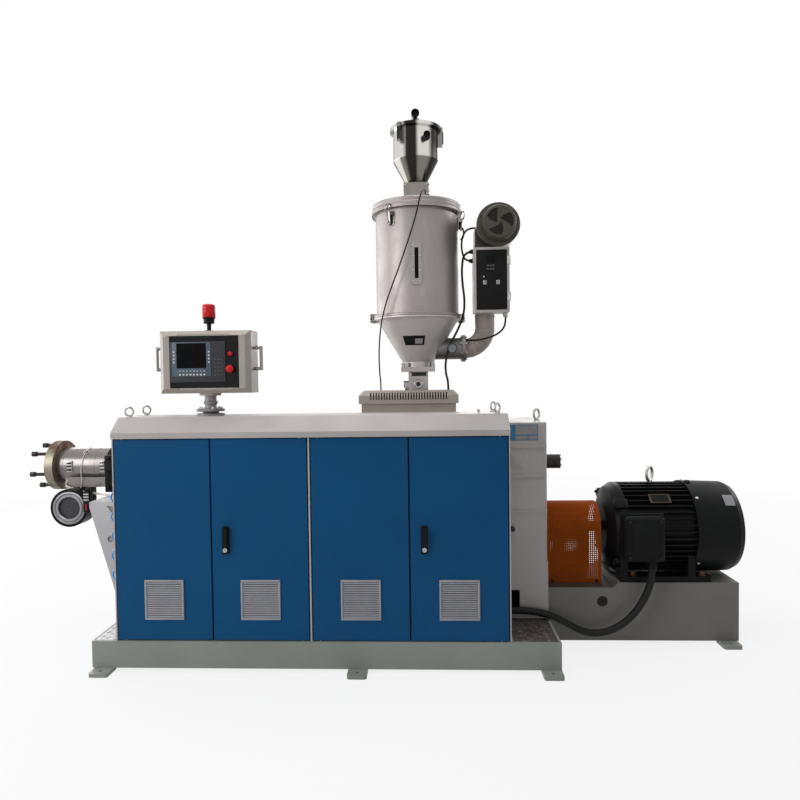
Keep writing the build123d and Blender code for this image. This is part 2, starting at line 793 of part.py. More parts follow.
def motor():
    """Finned motor on cast feet, with its terminal box in front and the fan cowl behind."""
    body = turned_x([(motor_x0, 0), (motor_x0, bell_nose_r), (motor_x0 + bell_l / 3, motor_core_r),
                     (bell_x1 - bell_l / 4, motor_r), (bell_x1, motor_r),
                     (bell_x1, motor_core_r), (cowl_x0, motor_core_r), (cowl_x0, 0)], axis_y, shaft_z)
    for i in range(fin_n):
        fin = block(bell_x1, cowl_x0, -fin_t / 2, fin_t / 2, motor_core_r - fin_t, motor_r)
        body += Pos(0, axis_y, shaft_z) * Rot((i + 0.5) * 360 / fin_n, 0, 0) * fin
    for way in (-1, 1):
        edge = axis_y + way * motor_foot_half
        inner = edge - way * motor_foot_w
        body += block(motor_foot_x0, cowl_x0 + motor_rail_over, min(edge, inner), max(edge, inner),
                      stand_top, stand_top + motor_foot_t)
        for x in (motor_foot_x0, cowl_x0 - motor_web_t):
            body += block(x, x + motor_web_t, min(edge, inner), max(edge, inner), stand_top,
                          shaft_z - motor_core_r / 2)
    pad_x = box_x0 + box_w / 2 - pad_w / 2
    pad_z = box_z0 + box_h / 2 - pad_w / 2
    body += block(pad_x, pad_x + pad_w, pad_y, axis_y - motor_core_r + fin_t * 8, pad_z, pad_z + pad_w)
    save("motor_body", body)
    box = block(box_x0, box_x0 + box_w, box_front, box_front + box_cover_d, box_z0, box_z0 + box_h)
    box = fillet(box.edges().filter_by(Axis.Y), box_round)
    box = chamfer(box.faces().sort_by(Axis.Y)[0].edges(), box_bevel)
    o = box_flange_out
    box += block(box_x0 - o, box_x0 + box_w + o, box_front + box_cover_d, pad_y, box_z0 - o,
                 box_z0 + box_h + o)
    start = motor_cable[0]
    save("terminal_box", box + rod(start, (0, 0, 1), gland_r, box_z0 + box_h / 4 - start[2]))
    cowl = turned_x([(cowl_x0, 0), (cowl_x0, cowl_r), (cowl_x1 - cowl_round, cowl_r - cowl_step),
                     (cowl_x1 - cowl_round / 3, cowl_r - cowl_round / 2),
                     (cowl_x1 - cowl_step, cowl_end_r), (cowl_x1, cowl_end_r - cowl_step),
                     (cowl_x1, 0)], axis_y, shaft_z)
    save("motor_cowl", cowl)


def feed():
    """Feed cover on the barrel housing and the slide valve below the hopper."""
    y1 = feed_front + feed_d
    cap = block(feed_x0, feed_x0 + feed_l, feed_front, y1, cover_top + feed_skirt_h, feed_z1)
    cap = chamfer(cap.faces().sort_by(Axis.Z)[-1].edges(), feed_bevel)
    i = feed_skirt_in
    cap += block(feed_x0 + i, feed_x0 + feed_l - i, feed_front + i, y1 - i, cover_top,
                 cover_top + feed_skirt_h)
    for k in range(slot_n):
        x = feed_x0 + slot_in + k * slot_pitch
        cap -= block(x, x + slot_w, feed_front, feed_front + slot_d, feed_z1 - slot_top - slot_h,
                     feed_z1 - slot_top)
    save("feed_cover", cap)
    half = valve_w / 2
    valve = block(hopper_x - half, hopper_x + half, axis_y - half, axis_y + half, feed_z1, valve_z1)
    p = valve_plate_w / 2
    valve += block(hopper_x - p, hopper_x + p, axis_y - p, axis_y + p, valve_z1, outlet_z0)
    f = valve_front_w / 2
    valve += block(hopper_x - f, hopper_x + f, axis_y - half - valve_front_out, axis_y - half, feed_z1,
                   feed_z1 + valve_front_h)
    mid_z = feed_z1 + valve_front_h / 2
    valve += rod((hopper_x, axis_y - half - valve_front_out, mid_z), (0, -1, 0), spout_r, spout_out)
    valve += rod((hopper_x - half, axis_y, mid_z), (-1, 0, 0), knob_r, knob_out)
    save("feed_valve", valve)


def hopper():
    """Conical hopper, its cylinder and lid as separate shells, with the sight window and fasteners."""
    t = hopper_t
    rim0 = cone_top_z + hopper_rim_t
    save("hopper_cone", turned_z([(outlet_r, outlet_z0), (outlet_r, cone_bot_z), (hopper_r - 6, cone_top_z),
                                  (hopper_rim_r, cone_top_z), (hopper_rim_r, rim0),
                                  (hopper_r - t, rim0), (hopper_r - t, cone_top_z + t),
                                  (hopper_r - 6 - t, cone_top_z), (outlet_r - t, cone_bot_z),
                                  (outlet_r - t, outlet_z0)], hopper_x, axis_y))
    save("hopper_cylinder",
         turned_z([(hopper_rim_r, rim0), (hopper_rim_r, hopper_z0), (hopper_r, hopper_z0),
                   (hopper_r, hopper_z1),
                                      (hopper_r - t, hopper_z1), (hopper_r - t, rim0)], hopper_x, axis_y))
    save("hopper_lid", turned_z([(hopper_r - t, lid_z0), (lid_r, lid_z0), (lid_r, lid_z0 + lid_rim_h),
                                 (lid_top_r, lid_top_z), (0, lid_top_z),
                                 (0, lid_top_z - t), (lid_top_r - t, lid_top_z - t),
                                 (hopper_r - t, lid_z0 + lid_rim_h - t)], hopper_x, axis_y))
    front = axis_y - hopper_r
    shell = rod((hopper_x, axis_y, hopper_z0), (0, 0, 1), hopper_r, hopper_z1 - hopper_z0)
    frame = block(hopper_x - window_w / 2, hopper_x + window_w / 2, front - window_out, front + window_out,
                  window_z, window_z + window_h)
    frame = fillet(frame.edges().filter_by(Axis.Y), window_w / 4)
    slot_z = window_z + window_h / 2
    frame -= block(hopper_x - window_slot_w / 2, hopper_x + window_slot_w / 2, front - window_out,
                   front - window_out / 2, slot_z - window_slot_h / 2, slot_z + window_slot_h / 2)
    save("hopper_window", frame - shell)
    latches = []
    for a in latch_turns:
        latch = block(hopper_r, lid_r + latch_out, -latch_w / 2, latch_w / 2, lid_z0 + lid_rim_h - latch_h,
                      lid_z0 + lid_rim_h)
        latch -= rod((0, 0, lid_z0), (0, 0, 1), lid_r, lid_rim_h)
        latch -= rod((0, 0, hopper_z0), (0, 0, 1), hopper_r, hopper_z1 - hopper_z0)
        latches.append(Pos(hopper_x, axis_y, 0) * Rot(0, 0, a) * latch)
    for a in clamp_turns:
        clamp = block(hopper_r, hopper_rim_r + clamp_out, -clamp_w / 2, clamp_w / 2, rim0 - clamp_h / 2,
                      rim0 + clamp_h / 2)
        clamp -= rod((0, 0, cone_top_z), (0, 0, 1), hopper_rim_r, 2 * hopper_rim_t)
        clamp -= rod((0, 0, rim0), (0, 0, 1), hopper_r, clamp_h)
        latches.append(Pos(hopper_x, axis_y, 0) * Rot(0, 0, a) * clamp)
    save("hopper_clamps", *latches)


def dryer():
    """Hot air inlet on the cone, lagged duct up to the blower, and the control box on the duct."""
    cone = turned_z([(0, cone_bot_z), (outlet_r, cone_bot_z), (hopper_r - 6, cone_top_z), (0, cone_top_z)],
                    hopper_x, axis_y)
    pipe = rod((hopper_x, axis_y, inlet_z), (1, 0, 0), inlet_r, inlet_flange_x - hopper_x)
    pipe += rod((inlet_flange_x, axis_y, inlet_z), (1, 0, 0), inlet_flange_r, inlet_flange_t)
    pipe -= rod((hopper_x, axis_y, inlet_z), (1, 0, 0), duct_r - duct_wall,
                inlet_flange_x + inlet_flange_t - hopper_x)
    save("air_inlet", pipe - cone)
    start = inlet_flange_x + inlet_flange_t
    bend = duct_x - start
    wire = Wire([Edge.make_three_point_arc((start, axis_y, inlet_z),
                                           (start + bend * math.sqrt(0.5), axis_y,
                                            inlet_z + bend * (1 - math.sqrt(0.5))), (duct_x, axis_y,
            inlet_z + bend)),
                 Edge.make_line((duct_x, axis_y, inlet_z + bend), (duct_x, axis_y, duct_top))])
    ring = Plane(origin=(start, axis_y, inlet_z),
                 z_dir=(1, 0, 0)) * (Circle(duct_r) - Circle(duct_r - duct_wall))
    save("air_duct", sweep(ring, path=wire))
    rear = axis_y - duct_r
    box = block(dryer_box_x0, dryer_box_x0 + dryer_box_w, rear - dryer_box_d, rear, dryer_box_z0,
                dryer_box_z0 + dryer_box_h)
    box = fillet(box.edges().filter_by(Axis.Y), 6)
    start = sensor_lead[0]
    save("dryer_box", box + rod(start, (0, 0, 1), plug_r, dryer_box_z0 + plug_r - start[2]))
    plate = blower_front - blower_nose
    lip = (blower_nose_r - blower_plate_r) / 2
    rear_y = axis_y + blower_d
    drum = turned_y([(plate, 0), (plate, blower_plate_r), (plate + lip, blower_nose_r - lip),
                     (blower_front, blower_nose_r), (blower_front, blower_r - lip / 2),
                     (blower_front + lip / 2, blower_r), (blower_front + blower_rim_t, blower_r),
                     (blower_front + blower_rim_t, blower_drum_r),
                     (rear_y - 2 * lip, blower_drum_r), (rear_y, blower_drum_r - 2 * lip),
                     (rear_y, 0)], blower_x, blower_z)
    drum += block(duct_x - duct_r, duct_x + duct_r, axis_y - duct_r, axis_y + duct_r, duct_top, blower_z)
    for k in range(blade_n):
        turn = 360 * k / blade_n
        line = [(share * blade_r, math.radians(a + turn)) for share, a in blade_line]
        drum -= along_y([(blower_x + r * math.cos(a), blower_z + r * math.sin(a)) for r, a in line], plate,
                        plate + blade_depth)
    save("dryer_blower", drum)


def loader():
    """Vacuum loader on the hopper lid."""
    half = loader_base_w / 2
    t = loader_t
    base_box = block(hopper_x - half, hopper_x + half, axis_y - half, axis_y + half, lid_top_z,
                     loader_base_z1)
    base_box -= rod((hopper_x, axis_y, lid_top_z), (0, 0, 1), loader_cone_r - t, loader_base_z1 - lid_top_z)
    save("loader_body", base_box + turned_z([(loader_cone_r, loader_base_z1), (loader_r, loader_cone_z1),
                                             (loader_r, loader_z1), (loader_r - t, loader_z1),
                                  (loader_r - t, loader_cone_z1),
                                  (loader_cone_r - t, loader_base_z1)], hopper_x, axis_y))
    rim = loader_z1 + loader_rim_h
    save("loader_lid", turned_z([(loader_r - t, loader_z1), (loader_rim_r, loader_z1), (loader_rim_r, rim),
                                 (loader_r, rim + loader_rim_h / 2), (loader_crown_r, loader_apex),
                                 (0, loader_apex), (0, loader_apex - t), (loader_crown_r, loader_apex - t),
                                 (loader_r - t, rim)], hopper_x, axis_y))
    z = loader_apex + tube_rise
    wire = Wire([Edge.make_line((hopper_x, axis_y, loader_apex), (hopper_x, axis_y, z)),
                 Edge.make_three_point_arc((hopper_x, axis_y, z),
                                           (hopper_x, axis_y - tube_bend * (1 - math.sqrt(0.5)),
                                            z + tube_bend * math.sqrt(0.5)), (hopper_x, axis_y - tube_bend,
                         z + tube_bend)),
                 Edge.make_line((hopper_x, axis_y - tube_bend, z + tube_bend),
                                (hopper_x, axis_y - 2 * tube_bend, z + tube_bend))])
    ring = Pos(hopper_x, axis_y, loader_apex) * (Circle(tube_r) - Circle(tube_r - 2))
    fittings = [sweep(ring, path=wire)]
    side = rod((hopper_x + side_tube_x, axis_y, side_tube_z), (0, -1, 0), side_tube_r,
               loader_r + side_tube_out - 20)
    side -= rod((hopper_x, axis_y, loader_cone_z1), (0, 0, 1), loader_r, loader_z1 - loader_cone_z1)
    fittings.append(side)
    for a in clip_turns:
        clip = block(loader_r, loader_rim_r + clip_out, -clip_w / 2, clip_w / 2, rim - clip_h, rim)
        clip -= rod((0, 0, loader_z1), (0, 0, 1), loader_rim_r, loader_rim_h)
        clip -= rod((0, 0, loader_cone_z1), (0, 0, 1), loader_r, loader_z1 - loader_cone_z1)
        fittings.append(Pos(hopper_x, axis_y, 0) * Rot(0, 0, a) * clip)
    save("loader_fittings", *fittings)


def control_panel():
    """Post on the hood, and the panel box that swivels on its spigot."""
    save("panel_post", turned_z([(0, hood_top), (post_plate_r, hood_top),
                                 (post_plate_r, hood_top + post_plate_h),
                                 (post_cone_r, hood_top + post_plate_h),
                                 (post_tube_r, hood_top + post_plate_h + post_cone_h),
                                 (post_tube_r, post_top_z), (spigot_r, post_top_z),
                                 (spigot_r, post_top_z + spigot_l),
                                 (0, post_top_z + spigot_l)], post_x, post_y))
    swivel_z = post_top_z + swivel_gap
    collar = rod((post_x, post_y, swivel_z), (0, 0, 1), swivel_r, panel_z0 - swivel_z)
    collar -= rod((post_x, post_y, swivel_z), (0, 0, 1), spigot_r + spigot_fit, panel_z0 - swivel_z)
    x0 = post_x - panel_w / 2
    box = block(x0, x0 + panel_w, panel_front, panel_front + panel_d, panel_z0, panel_z0 + panel_h)
    box = chamfer(box.faces().sort_by(Axis.Y)[0].edges(), panel_bevel)
    box -= rod((post_x, post_y, panel_z0), (0, 0, 1), spigot_r + spigot_fit, spigot_l)
    box += collar
    mid_z = panel_z0 + panel_h / 2
    half_w = panel_face_w / 2
    half_h = panel_face_h / 2
    back = panel_front + panel_recess
    box -= block(post_x - half_w, post_x + half_w, panel_front, back, mid_z - half_h, mid_z + half_h)
    mouth = Plane(origin=(post_x, panel_front, mid_z),
                  z_dir=(0, 1, 0)) * Rectangle(panel_face_w + 2 * panel_recess_bevel,
                                               panel_face_h + 2 * panel_recess_bevel)
    box -= extrude(mouth, amount=panel_recess_bevel, taper=45)
    save("panel_box", box)
    save("panel_face", block(post_x - half_w, post_x + half_w, back - panel_face_t, back, mid_z - half_h,
                             mid_z + half_h))
    face = back - panel_face_t
    hx = post_x - hmi_left
    hmi = block(hx, hx + hmi_w, face - hmi_out, face, mid_z - hmi_h / 2, mid_z + hmi_h / 2)
    hmi = fillet(hmi.edges().filter_by(Axis.Y), 8)
    bx = post_x + button_x
    lamp = rod((bx, face, mid_z + 41), (0, -1, 0), button_r, button_out)
    stop = rod((bx, face, mid_z - 39), (0, -1, 0), button_r, estop_out)
    stop += rod((bx, face - estop_out / 2, mid_z - 39), (0, -1, 0), estop_r, estop_out / 2)
    save("panel_controls", hmi, lamp, stop)
    grips = []
    for way in (-1, 1):
        gx = post_x + way * panel_w / 2
        y = panel_front + panel_d / 2
        bar = rod((gx + way * grip_out, y, grip_z), (0, 0, 1), grip_r, grip_h)
        for z in (grip_z + grip_r, grip_z + grip_h - grip_r):
            bar += rod((gx, y, z), (way, 0, 0), grip_r, grip_out)
        grips.append(bar)
    save("panel_grips", *grips)
    top = panel_z0 + panel_h
    z = top + beacon_neck_l
    beacon = turned_z([(0, top), (beacon_neck_r, top), (beacon_neck_r, z), (beacon_r * 0.8, z),
                       (beacon_r * 0.8, z + beacon_base_h), (0, z + beacon_base_h)], post_x, post_y)
    dome = rod((post_x, post_y, z + beacon_base_h), (0, 0, 1), beacon_r, beacon_h)
    save("beacon", beacon, fillet(dome.faces().sort_by(Axis.Z)[-1].edges(), 12))


def cable(points, r):
    """Round cable along straight runs, with each corner as wide an arc as its runs allow."""
    pts = [Vector(*p) for p in points]
    here = pts[0]
    edges = []
    for a, b, c in zip(pts, pts[1:], pts[2:]):
        u = (b - a).normalized()
        v = (c - b).normalized()
        cut = 0.45 * min((b - a).length, (c - b).length)
        half = math.radians(u.get_angle(v)) / 2
        rise = cut / math.sin(half) - cut / math.tan(half)
        edges.append(Edge.make_line(here, b - u * cut))
        edges.append(Edge.make_three_point_arc(b - u * cut, b + (v - u).normalized() * rise, b + v * cut))
        here = b + v * cut
    edges.append(Edge.make_line(here, pts[-1]))
    return sweep(Plane(origin=pts[0], z_dir=pts[1] - pts[0]) * Circle(r), path=Wire(edges))


def cables():
    save("motor_cable", cable(motor_cable, motor_cable_r))
    save("air_hose", cable(air_hose, hose_r))
    save("loader_cable", cable(loader_cable, loader_cable_r))
    save("dryer_cable", cable(dryer_cable, dryer_cable_r))
    save("sensor_lead", cable(sensor_lead, lead_r))
    save("blower_lead", cable(blower_lead, lead_r))


def eye(x, y, z, ring_r, wire_r):
    """Lifting eye bolt standing on a surface at height z."""
    wire = Pos(ring_r, 0) * RegularPolygon(wire_r, 8, rotation=22.5)
    ring = Pos(x, y, z + eye_collar_h + ring_r) * Rot(0, 0, eye_turn) * revolve(wire, Axis.Y)
    return ring + rod((x, y, z), (0, 0, 1), eye_collar_r, eye_collar_h)


def lifting_eyes():
    eyes = [eye(x, y, hood_top, eye_ring_r, eye_wire_r)
            for x in (cab_x0 + eye_inset_x, cab_x1 - eye_inset_x) for y in (eye_front_y, eye_rear_y)]
    eyes.append(eye(gear_eye_x, gear_eye_y, gear_z1, gear_eye_ring_r, gear_eye_wire_r))
    eyes.append(eye(motor_eye_x, axis_y, shaft_z + motor_r, motor_eye_ring_r, motor_eye_wire_r))
    save("lifting_eyes", *eyes)


base()
feet()
cabinet()
doors()
hood()
barrel_housing()
barrel()
barrel_support()
gearbox()
drive()
motor()
feed()
hopper()
dryer()
loader()
control_panel()
cables()
lifting_eyes()
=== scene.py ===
import math

import bmesh
import bpy
from mathutils import Matrix, Vector


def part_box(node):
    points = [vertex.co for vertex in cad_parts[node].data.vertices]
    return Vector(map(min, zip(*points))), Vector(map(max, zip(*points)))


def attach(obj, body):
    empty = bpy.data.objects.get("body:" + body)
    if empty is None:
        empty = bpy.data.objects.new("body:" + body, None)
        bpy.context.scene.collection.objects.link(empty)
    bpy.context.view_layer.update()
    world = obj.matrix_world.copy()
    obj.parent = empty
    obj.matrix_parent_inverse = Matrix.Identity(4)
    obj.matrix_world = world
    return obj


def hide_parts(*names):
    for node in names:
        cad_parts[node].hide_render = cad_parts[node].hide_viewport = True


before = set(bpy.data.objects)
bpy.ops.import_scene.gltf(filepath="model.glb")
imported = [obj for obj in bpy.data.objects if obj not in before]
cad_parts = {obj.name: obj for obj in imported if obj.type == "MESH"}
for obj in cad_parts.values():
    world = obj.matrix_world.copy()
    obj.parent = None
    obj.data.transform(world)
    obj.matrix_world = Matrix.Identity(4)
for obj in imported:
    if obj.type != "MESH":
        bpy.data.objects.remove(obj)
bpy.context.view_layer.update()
scene = bpy.context.scene
scene.view_settings.view_transform = "Standard"


# The camera stands in front of the doors, a little right of the middle and at chest height.
# It looks square on, with a slight roll, as the hand-held camera of the photograph did.
def spot(x, y, z):
    """A point of the workshop drawing, in mm from the left door's corner, as a point of the frame."""
    return Vector(((x - 1315.5) / 1000, (y - 496) / 1000, z / 1000))


camera = bpy.data.objects.new("camera", bpy.data.cameras.new("camera"))
scene.collection.objects.link(camera)
camera.data.sensor_width = 36
camera.data.lens = 633.6 / 800 * 36
camera.data.clip_end = 200
pan, tilt, roll = 0.0420, math.pi / 2 - 0.0285, -0.0128
aim = Matrix.Rotation(pan, 4, "Z") @ Matrix.Rotation(tilt, 4, "X") @ Matrix.Rotation(roll, 4, "Z")
camera.matrix_world = Matrix.Translation(spot(1617.3, -3202.0, 1489.0)) @ aim
scene.camera = camera


# The floor is a plain pale studio floor that runs out to a white background, and keeps a soft shadow.
# Light comes from a wide bank overhead, a bank and tall windows on the left, and weaker banks round about.
def feed(made, name, value):
    """Sets an input of a node, or links it where value is another node's socket."""
    if isinstance(value, bpy.types.NodeSocket):
        made.id_data.links.new(value, made.inputs[name])
    else:
        made.inputs[name].default_value = value


def node(tree, kind, values=None, **settings):
    """A shader node with its settings and inputs."""
    made = tree.nodes.new("ShaderNode" + kind)
    for name, setting in settings.items():
        setattr(made, name, setting)
    for name, value in (values or {}).items():
        feed(made, name, value)
    return made


def level(value, low, high, to_low=0.0, to_high=1.0):
    """Stretches the part of value between low and high."""
    ends = {"Value": value, "From Min": low, "From Max": high, "To Min": to_low, "To Max": to_high}
    return node(value.id_data, "MapRange", ends).outputs[0]


def through_window(tree):
    """1 for the rays that see the background: straight, in a reflection or through glass."""
    path = node(tree, "LightPath")
    total = path.outputs["Is Camera Ray"]
    for way in ("Is Glossy Ray", "Is Transmission Ray"):
        total = node(tree, "Math", {0: total, 1: path.outputs[way]}, operation="MAXIMUM").outputs[0]
    return total


world = bpy.data.worlds.new("studio")
scene.world = world
world.use_nodes = True
tree = world.node_tree
air = tree.nodes["Background"]
feed(air, "Color", (0.93, 0.96, 1.0, 1))
feed(air, "Strength", 0.2)
white = node(tree, "Background", {"Color": (1, 1, 1, 1)})
mixed = node(tree, "MixShader", {0: through_window(tree), 1: air.outputs[0], 2: white.outputs[0]})
feed(tree.nodes["World Output"], "Surface", mixed.outputs[0])

bm = bmesh.new()
bmesh.ops.create_grid(bm, x_segments=2, y_segments=2, size=40)
floor_mesh = bpy.data.meshes.new("floor")
bm.to_mesh(floor_mesh)
bm.free()
floor = bpy.data.objects.new("floor", floor_mesh)
scene.collection.objects.link(floor)
floor_look = bpy.data.materials.new("studio_floor")
floor_look.use_nodes = True
tree = floor_look.node_tree
matt = node(tree, "BsdfDiffuse", {"Color": (0.72, 0.72, 0.72, 1)})
glow = node(tree, "Emission", {"Color": (1, 1, 1, 1)})
reach = node(tree, "VectorMath", {0: node(tree, "TexCoord").outputs["Object"]}, operation="LENGTH")
clear = level(reach.outputs["Value"], 2.5, 7, 0.82, 1)
share = node(tree, "Math", {0: through_window(tree), 1: clear}, operation="MULTIPLY")
mixed = node(tree, "MixShader", {0: share.outputs[0], 1: matt.outputs[0], 2: glow.outputs[0]})
feed(tree.nodes["Material Output"], "Surface", mixed.outputs[0])
floor_mesh.materials.append(floor_look)


def bank(name, place, target, size, power):
    """A soft box that points at target."""
    lamp = bpy.data.lights.new(name, "AREA")
    lamp.shape = "RECTANGLE"
    lamp.size, lamp.size_y = size
    lamp.energy = power
    holder = bpy.data.objects.new(name, lamp)
    holder.location = place
    holder.rotation_mode = "QUATERNION"
    holder.rotation_quaternion = (Vector(target) - Vector(place)).to_track_quat("-Z", "Y")
    scene.collection.objects.link(holder)


bank("overhead_bank", (-0.6, -0.4, 6.2), (0, 0, 1), (6, 4), 215)
bank("left_bank", (-4.8, -3.6, 2.8), (-0.4, 0, 1.1), (3, 3), 150)
bank("left_windows", (-5.2, 2.4, 2.1), (0.2, 0.1, 1.9), (6, 4), 210)
bank("front_fill", (1.4, -6.5, 2.6), (0.2, 0, 1.2), (4, 3), 14)
bank("rear_fill", (1.5, 5.6, 3.4), (0, 0, 1.2), (4, 3), 80)
bank("right_bank", (4.8, 1.3, 3.2), (0.3, 0, 1.7), (2.5, 2.5), 70)


# The base is two welded steel channels with cross members, on flat foot pads drilled for anchor bolts.
# All of it is sprayed with grey-green machine enamel, which is chipped and scuffed along the bottom.
def srgb(red, green, blue):
    """A paint colour as read off a chart, 0 to 255, as linear light."""
    return [((c / 255 + 0.055) / 1.055) ** 2.4 if c > 10 else c / 255 / 12.92 for c in (red, green, blue)]


def new_finish(name):
    """A new material, with its shader and the place on the object."""
    finish = bpy.data.materials.new(name)
    finish.use_nodes = True
    tree = finish.node_tree
    return finish, tree.nodes["Principled BSDF"], node(tree, "TexCoord").outputs["Object"]


def clouds(place, scale, detail, stretch=(1, 1, 1)):
    """Noise in the surface, drawn out along an axis where stretch is small."""
    lay = node(place.id_data, "Mapping", {"Vector": place, "Scale": stretch})
    grain = {"Vector": lay.outputs["Vector"], "Scale": scale, "Detail": detail, "Roughness": 0.6}
    return node(place.id_data, "TexNoise", grain).outputs[0]


def tint(share, first, second):
    """A colour between two, by share; either may be a colour that is already made."""
    ends = [c if isinstance(c, bpy.types.NodeSocket) else (*c, 1) for c in (first, second)]
    return node(share.id_data, "Mix", {0: share, 6: ends[0], 7: ends[1]}, data_type="RGBA").outputs[2]


def raise_by(shade, height, distance, strength):
    """Fine relief in the surface, distance in metres."""
    relief = {"Strength": strength, "Distance": distance, "Height": height}
    feed(shade, "Normal", node(shade.id_data, "Bump", relief).outputs["Normal"])


def enamel(name, colour, rough, peel=0.0004, chips=0.0, primer=(0.05, 0.045, 0.04), fade=0.1, shine=0.3):
    """Sprayed machine enamel: slow drift of tone, orange peel, dull patches and a few chips to the primer."""
    finish, shade, place = new_finish(name)
    drift = level(clouds(place, 2.3, 4), 0.3, 0.7)
    tone = tint(drift, [c * (1 - fade) for c in colour], [min(1, c * (1 + fade)) for c in colour])
    dust = level(clouds(place, 46, 3), 0.52, 0.8, 0, 0.18)
    tone = tint(dust, tone, [0.85 * c + 0.02 for c in colour])
    if chips:
        tone = tint(level(clouds(place, 26, 5), 0.80 - chips, 0.82 - chips), tone, primer)
    feed(shade, "Base Color", tone)
    feed(shade, "Roughness", level(clouds(place, 7, 5), 0.3, 0.7, rough - 0.07, rough + 0.09))
    feed(shade, "Specular IOR Level", shine)
    raise_by(shade, clouds(place, 420, 2), peel, 0.5)
    return finish


def dress(finish, *names):
    """Gives CAD nodes their finish."""
    for name in names:
        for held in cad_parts[name].material_slots:
            held.material = finish


dress(enamel("base_enamel", srgb(138, 143, 136), 0.42, chips=0.06), "base_frame", "deck", "feet")


# Checker plate is laid on the deck at both ends, where people step up, inside a painted edge.
# It is bare dark steel, pressed with lozenges that are worn bright on top. The left plate is painted paler,
# as light from the left.
# Shapes are drawn in mm on the workshop drawing and collected on a bench until their piece is made.
bench = bmesh.new()
to_frame = Matrix.Scale(0.001, 4) @ Matrix.Translation((-1315.5, -496, 0))


def shaped(part, place=Matrix(), mat=0):
    """Lays one shape on the bench, merged, with its faces outwards."""
    bmesh.ops.remove_doubles(part, verts=part.verts, dist=0.001)
    bmesh.ops.recalc_face_normals(part, faces=part.faces)
    bmesh.ops.transform(part, matrix=to_frame @ place, verts=part.verts)
    for face in part.faces:
        face.material_index = mat
    held = bpy.data.meshes.new("held")
    part.to_mesh(held)
    part.free()
    bench.from_mesh(held)
    bpy.data.meshes.remove(held)


def round_edges(part, offset, steps):
    """Rounds all the edges of a shape."""
    bmesh.ops.bevel(part, geom=part.edges[:], offset=offset, offset_type="OFFSET", segments=steps,
                    profile=0.5, affect="EDGES", material=-1, clamp_overlap=True)


def block(low, high, edge=1.5, steps=2, mat=0, place=Matrix()):
    """A block with rounded edges between two corners."""
    low, high = Vector(low), Vector(high)
    part = bmesh.new()
    size = Matrix.Diagonal((*(high - low), 1))
    bmesh.ops.create_cube(part, size=1, matrix=Matrix.Translation((low + high) / 2) @ size)
    if edge:
        round_edges(part, edge, steps)
    shaped(part, place, mat)


def piece(name, finishes, body="machine", soft=35):
    """Makes the piece from what is on the bench: smooth where its faces turn gently, riding on its body."""
    for face in bench.faces:
        face.smooth = True
    for edge in bench.edges:
        edge.smooth = len(edge.link_faces) == 2 and edge.calc_face_angle(0) < math.radians(soft)
    mesh = bpy.data.meshes.new(name)
    bench.to_mesh(mesh)
    bench.clear()
    for finish in finishes if isinstance(finishes, list) else [finishes]:
        mesh.materials.append(finish)
    made = bpy.data.objects.new(name, mesh)
    scene.collection.objects.link(made)
    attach(made, body)
    return made


def worn_steel(name, colour, bright, rough, scale=30):
    """Bare steel, brighter where feet or tools rub it."""
    finish, shade, place = new_finish(name)
    rub = level(clouds(place, scale, 6), 0.35, 0.7)
    feed(shade, "Base Color", tint(rub, colour, bright))
    feed(shade, "Roughness", level(clouds(place, 60, 3), 0.3, 0.7, rough - 0.1, rough + 0.12))
    feed(shade, "Metallic", 0.7)
    raise_by(shade, clouds(place, 300, 3), 0.0004, 0.5)
    return finish


tread_steel = worn_steel("tread_steel", srgb(72, 64, 60), srgb(122, 114, 110), 0.5)
# The left plate's paler steel is painted light from the lamps on the left.
lit_tread_steel = worn_steel("lit_tread_steel", srgb(142, 139, 140), srgb(186, 184, 186), 0.45)
tread_rim = 14
lozenge_pitch = 30
lozenge_size = Matrix.Diagonal((27, 9, 1.8, 1))
for side, x0, x1, finish in (("left", -140, -13, lit_tread_steel), ("right", 2035, 2286, tread_steel)):
    low = Vector((x0 + tread_rim, -8 + tread_rim, 160))
    high = Vector((x1 - tread_rim, 326, 161.2))
    block(low, high, 0.5, 1)
    across = int((high.x - low.x) / lozenge_pitch)
    step = (high.x - low.x) / across
    for i in range(across):
        for j in range(int((high.y - low.y) / lozenge_pitch)):
            lug = bmesh.new()
            bmesh.ops.create_cone(lug, cap_ends=True, segments=6, radius1=0.5, radius2=0.3, depth=1)
            centre = (low.x + (i + 0.5) * step, low.y + (j + 0.5) * lozenge_pitch, high.z + 0.8)
            turn = Matrix.Rotation(math.radians(45 if (i + j) % 2 else -45), 4, "Z")
            shaped(lug, Matrix.Translation(centre) @ turn @ lozenge_size)
    piece(f"tread_{side}", finish)


# The motor stand is a welded box in a darker copy of the base's enamel, painted shade, and painted near black
# inside the box as shade.
# A strip of dark bare plate on the low part carries the guard.
# The stand's enamel is a darker copy of the base's: painted shade.
shaded_stand_enamel = enamel("shaded_stand_enamel", srgb(112, 110, 105), 0.45, chips=0.07)
tree = shaded_stand_enamel.node_tree
shade = tree.nodes["Principled BSDF"]
parts = node(tree, "SeparateXYZ", {0: node(tree, "TexCoord").outputs["Object"]})
# Inside the box's walls the enamel turns near black: painted shade inside the stand.
painted_shade_box = (("X", spot(2297.5, 0, 0).x, spot(3331.5, 0, 0).x), ("Y", -0.115, 0.323), ("Z", -1, 0.306))
inside = None
for axis, low, high in painted_shade_box:
    for limit, kind in ((low, "GREATER_THAN"), (high, "LESS_THAN")):
        test = node(tree, "Math", {0: parts.outputs[axis], 1: limit}, operation=kind).outputs[0]
        if inside:
            test = node(tree, "Math", {0: inside, 1: test}, operation="MULTIPLY").outputs[0]
        inside = test
paint = shade.inputs["Base Color"].links[0].from_socket
feed(shade, "Base Color", tint(inside, paint, srgb(22, 20, 19)))
dress(shaded_stand_enamel, "motor_stand")
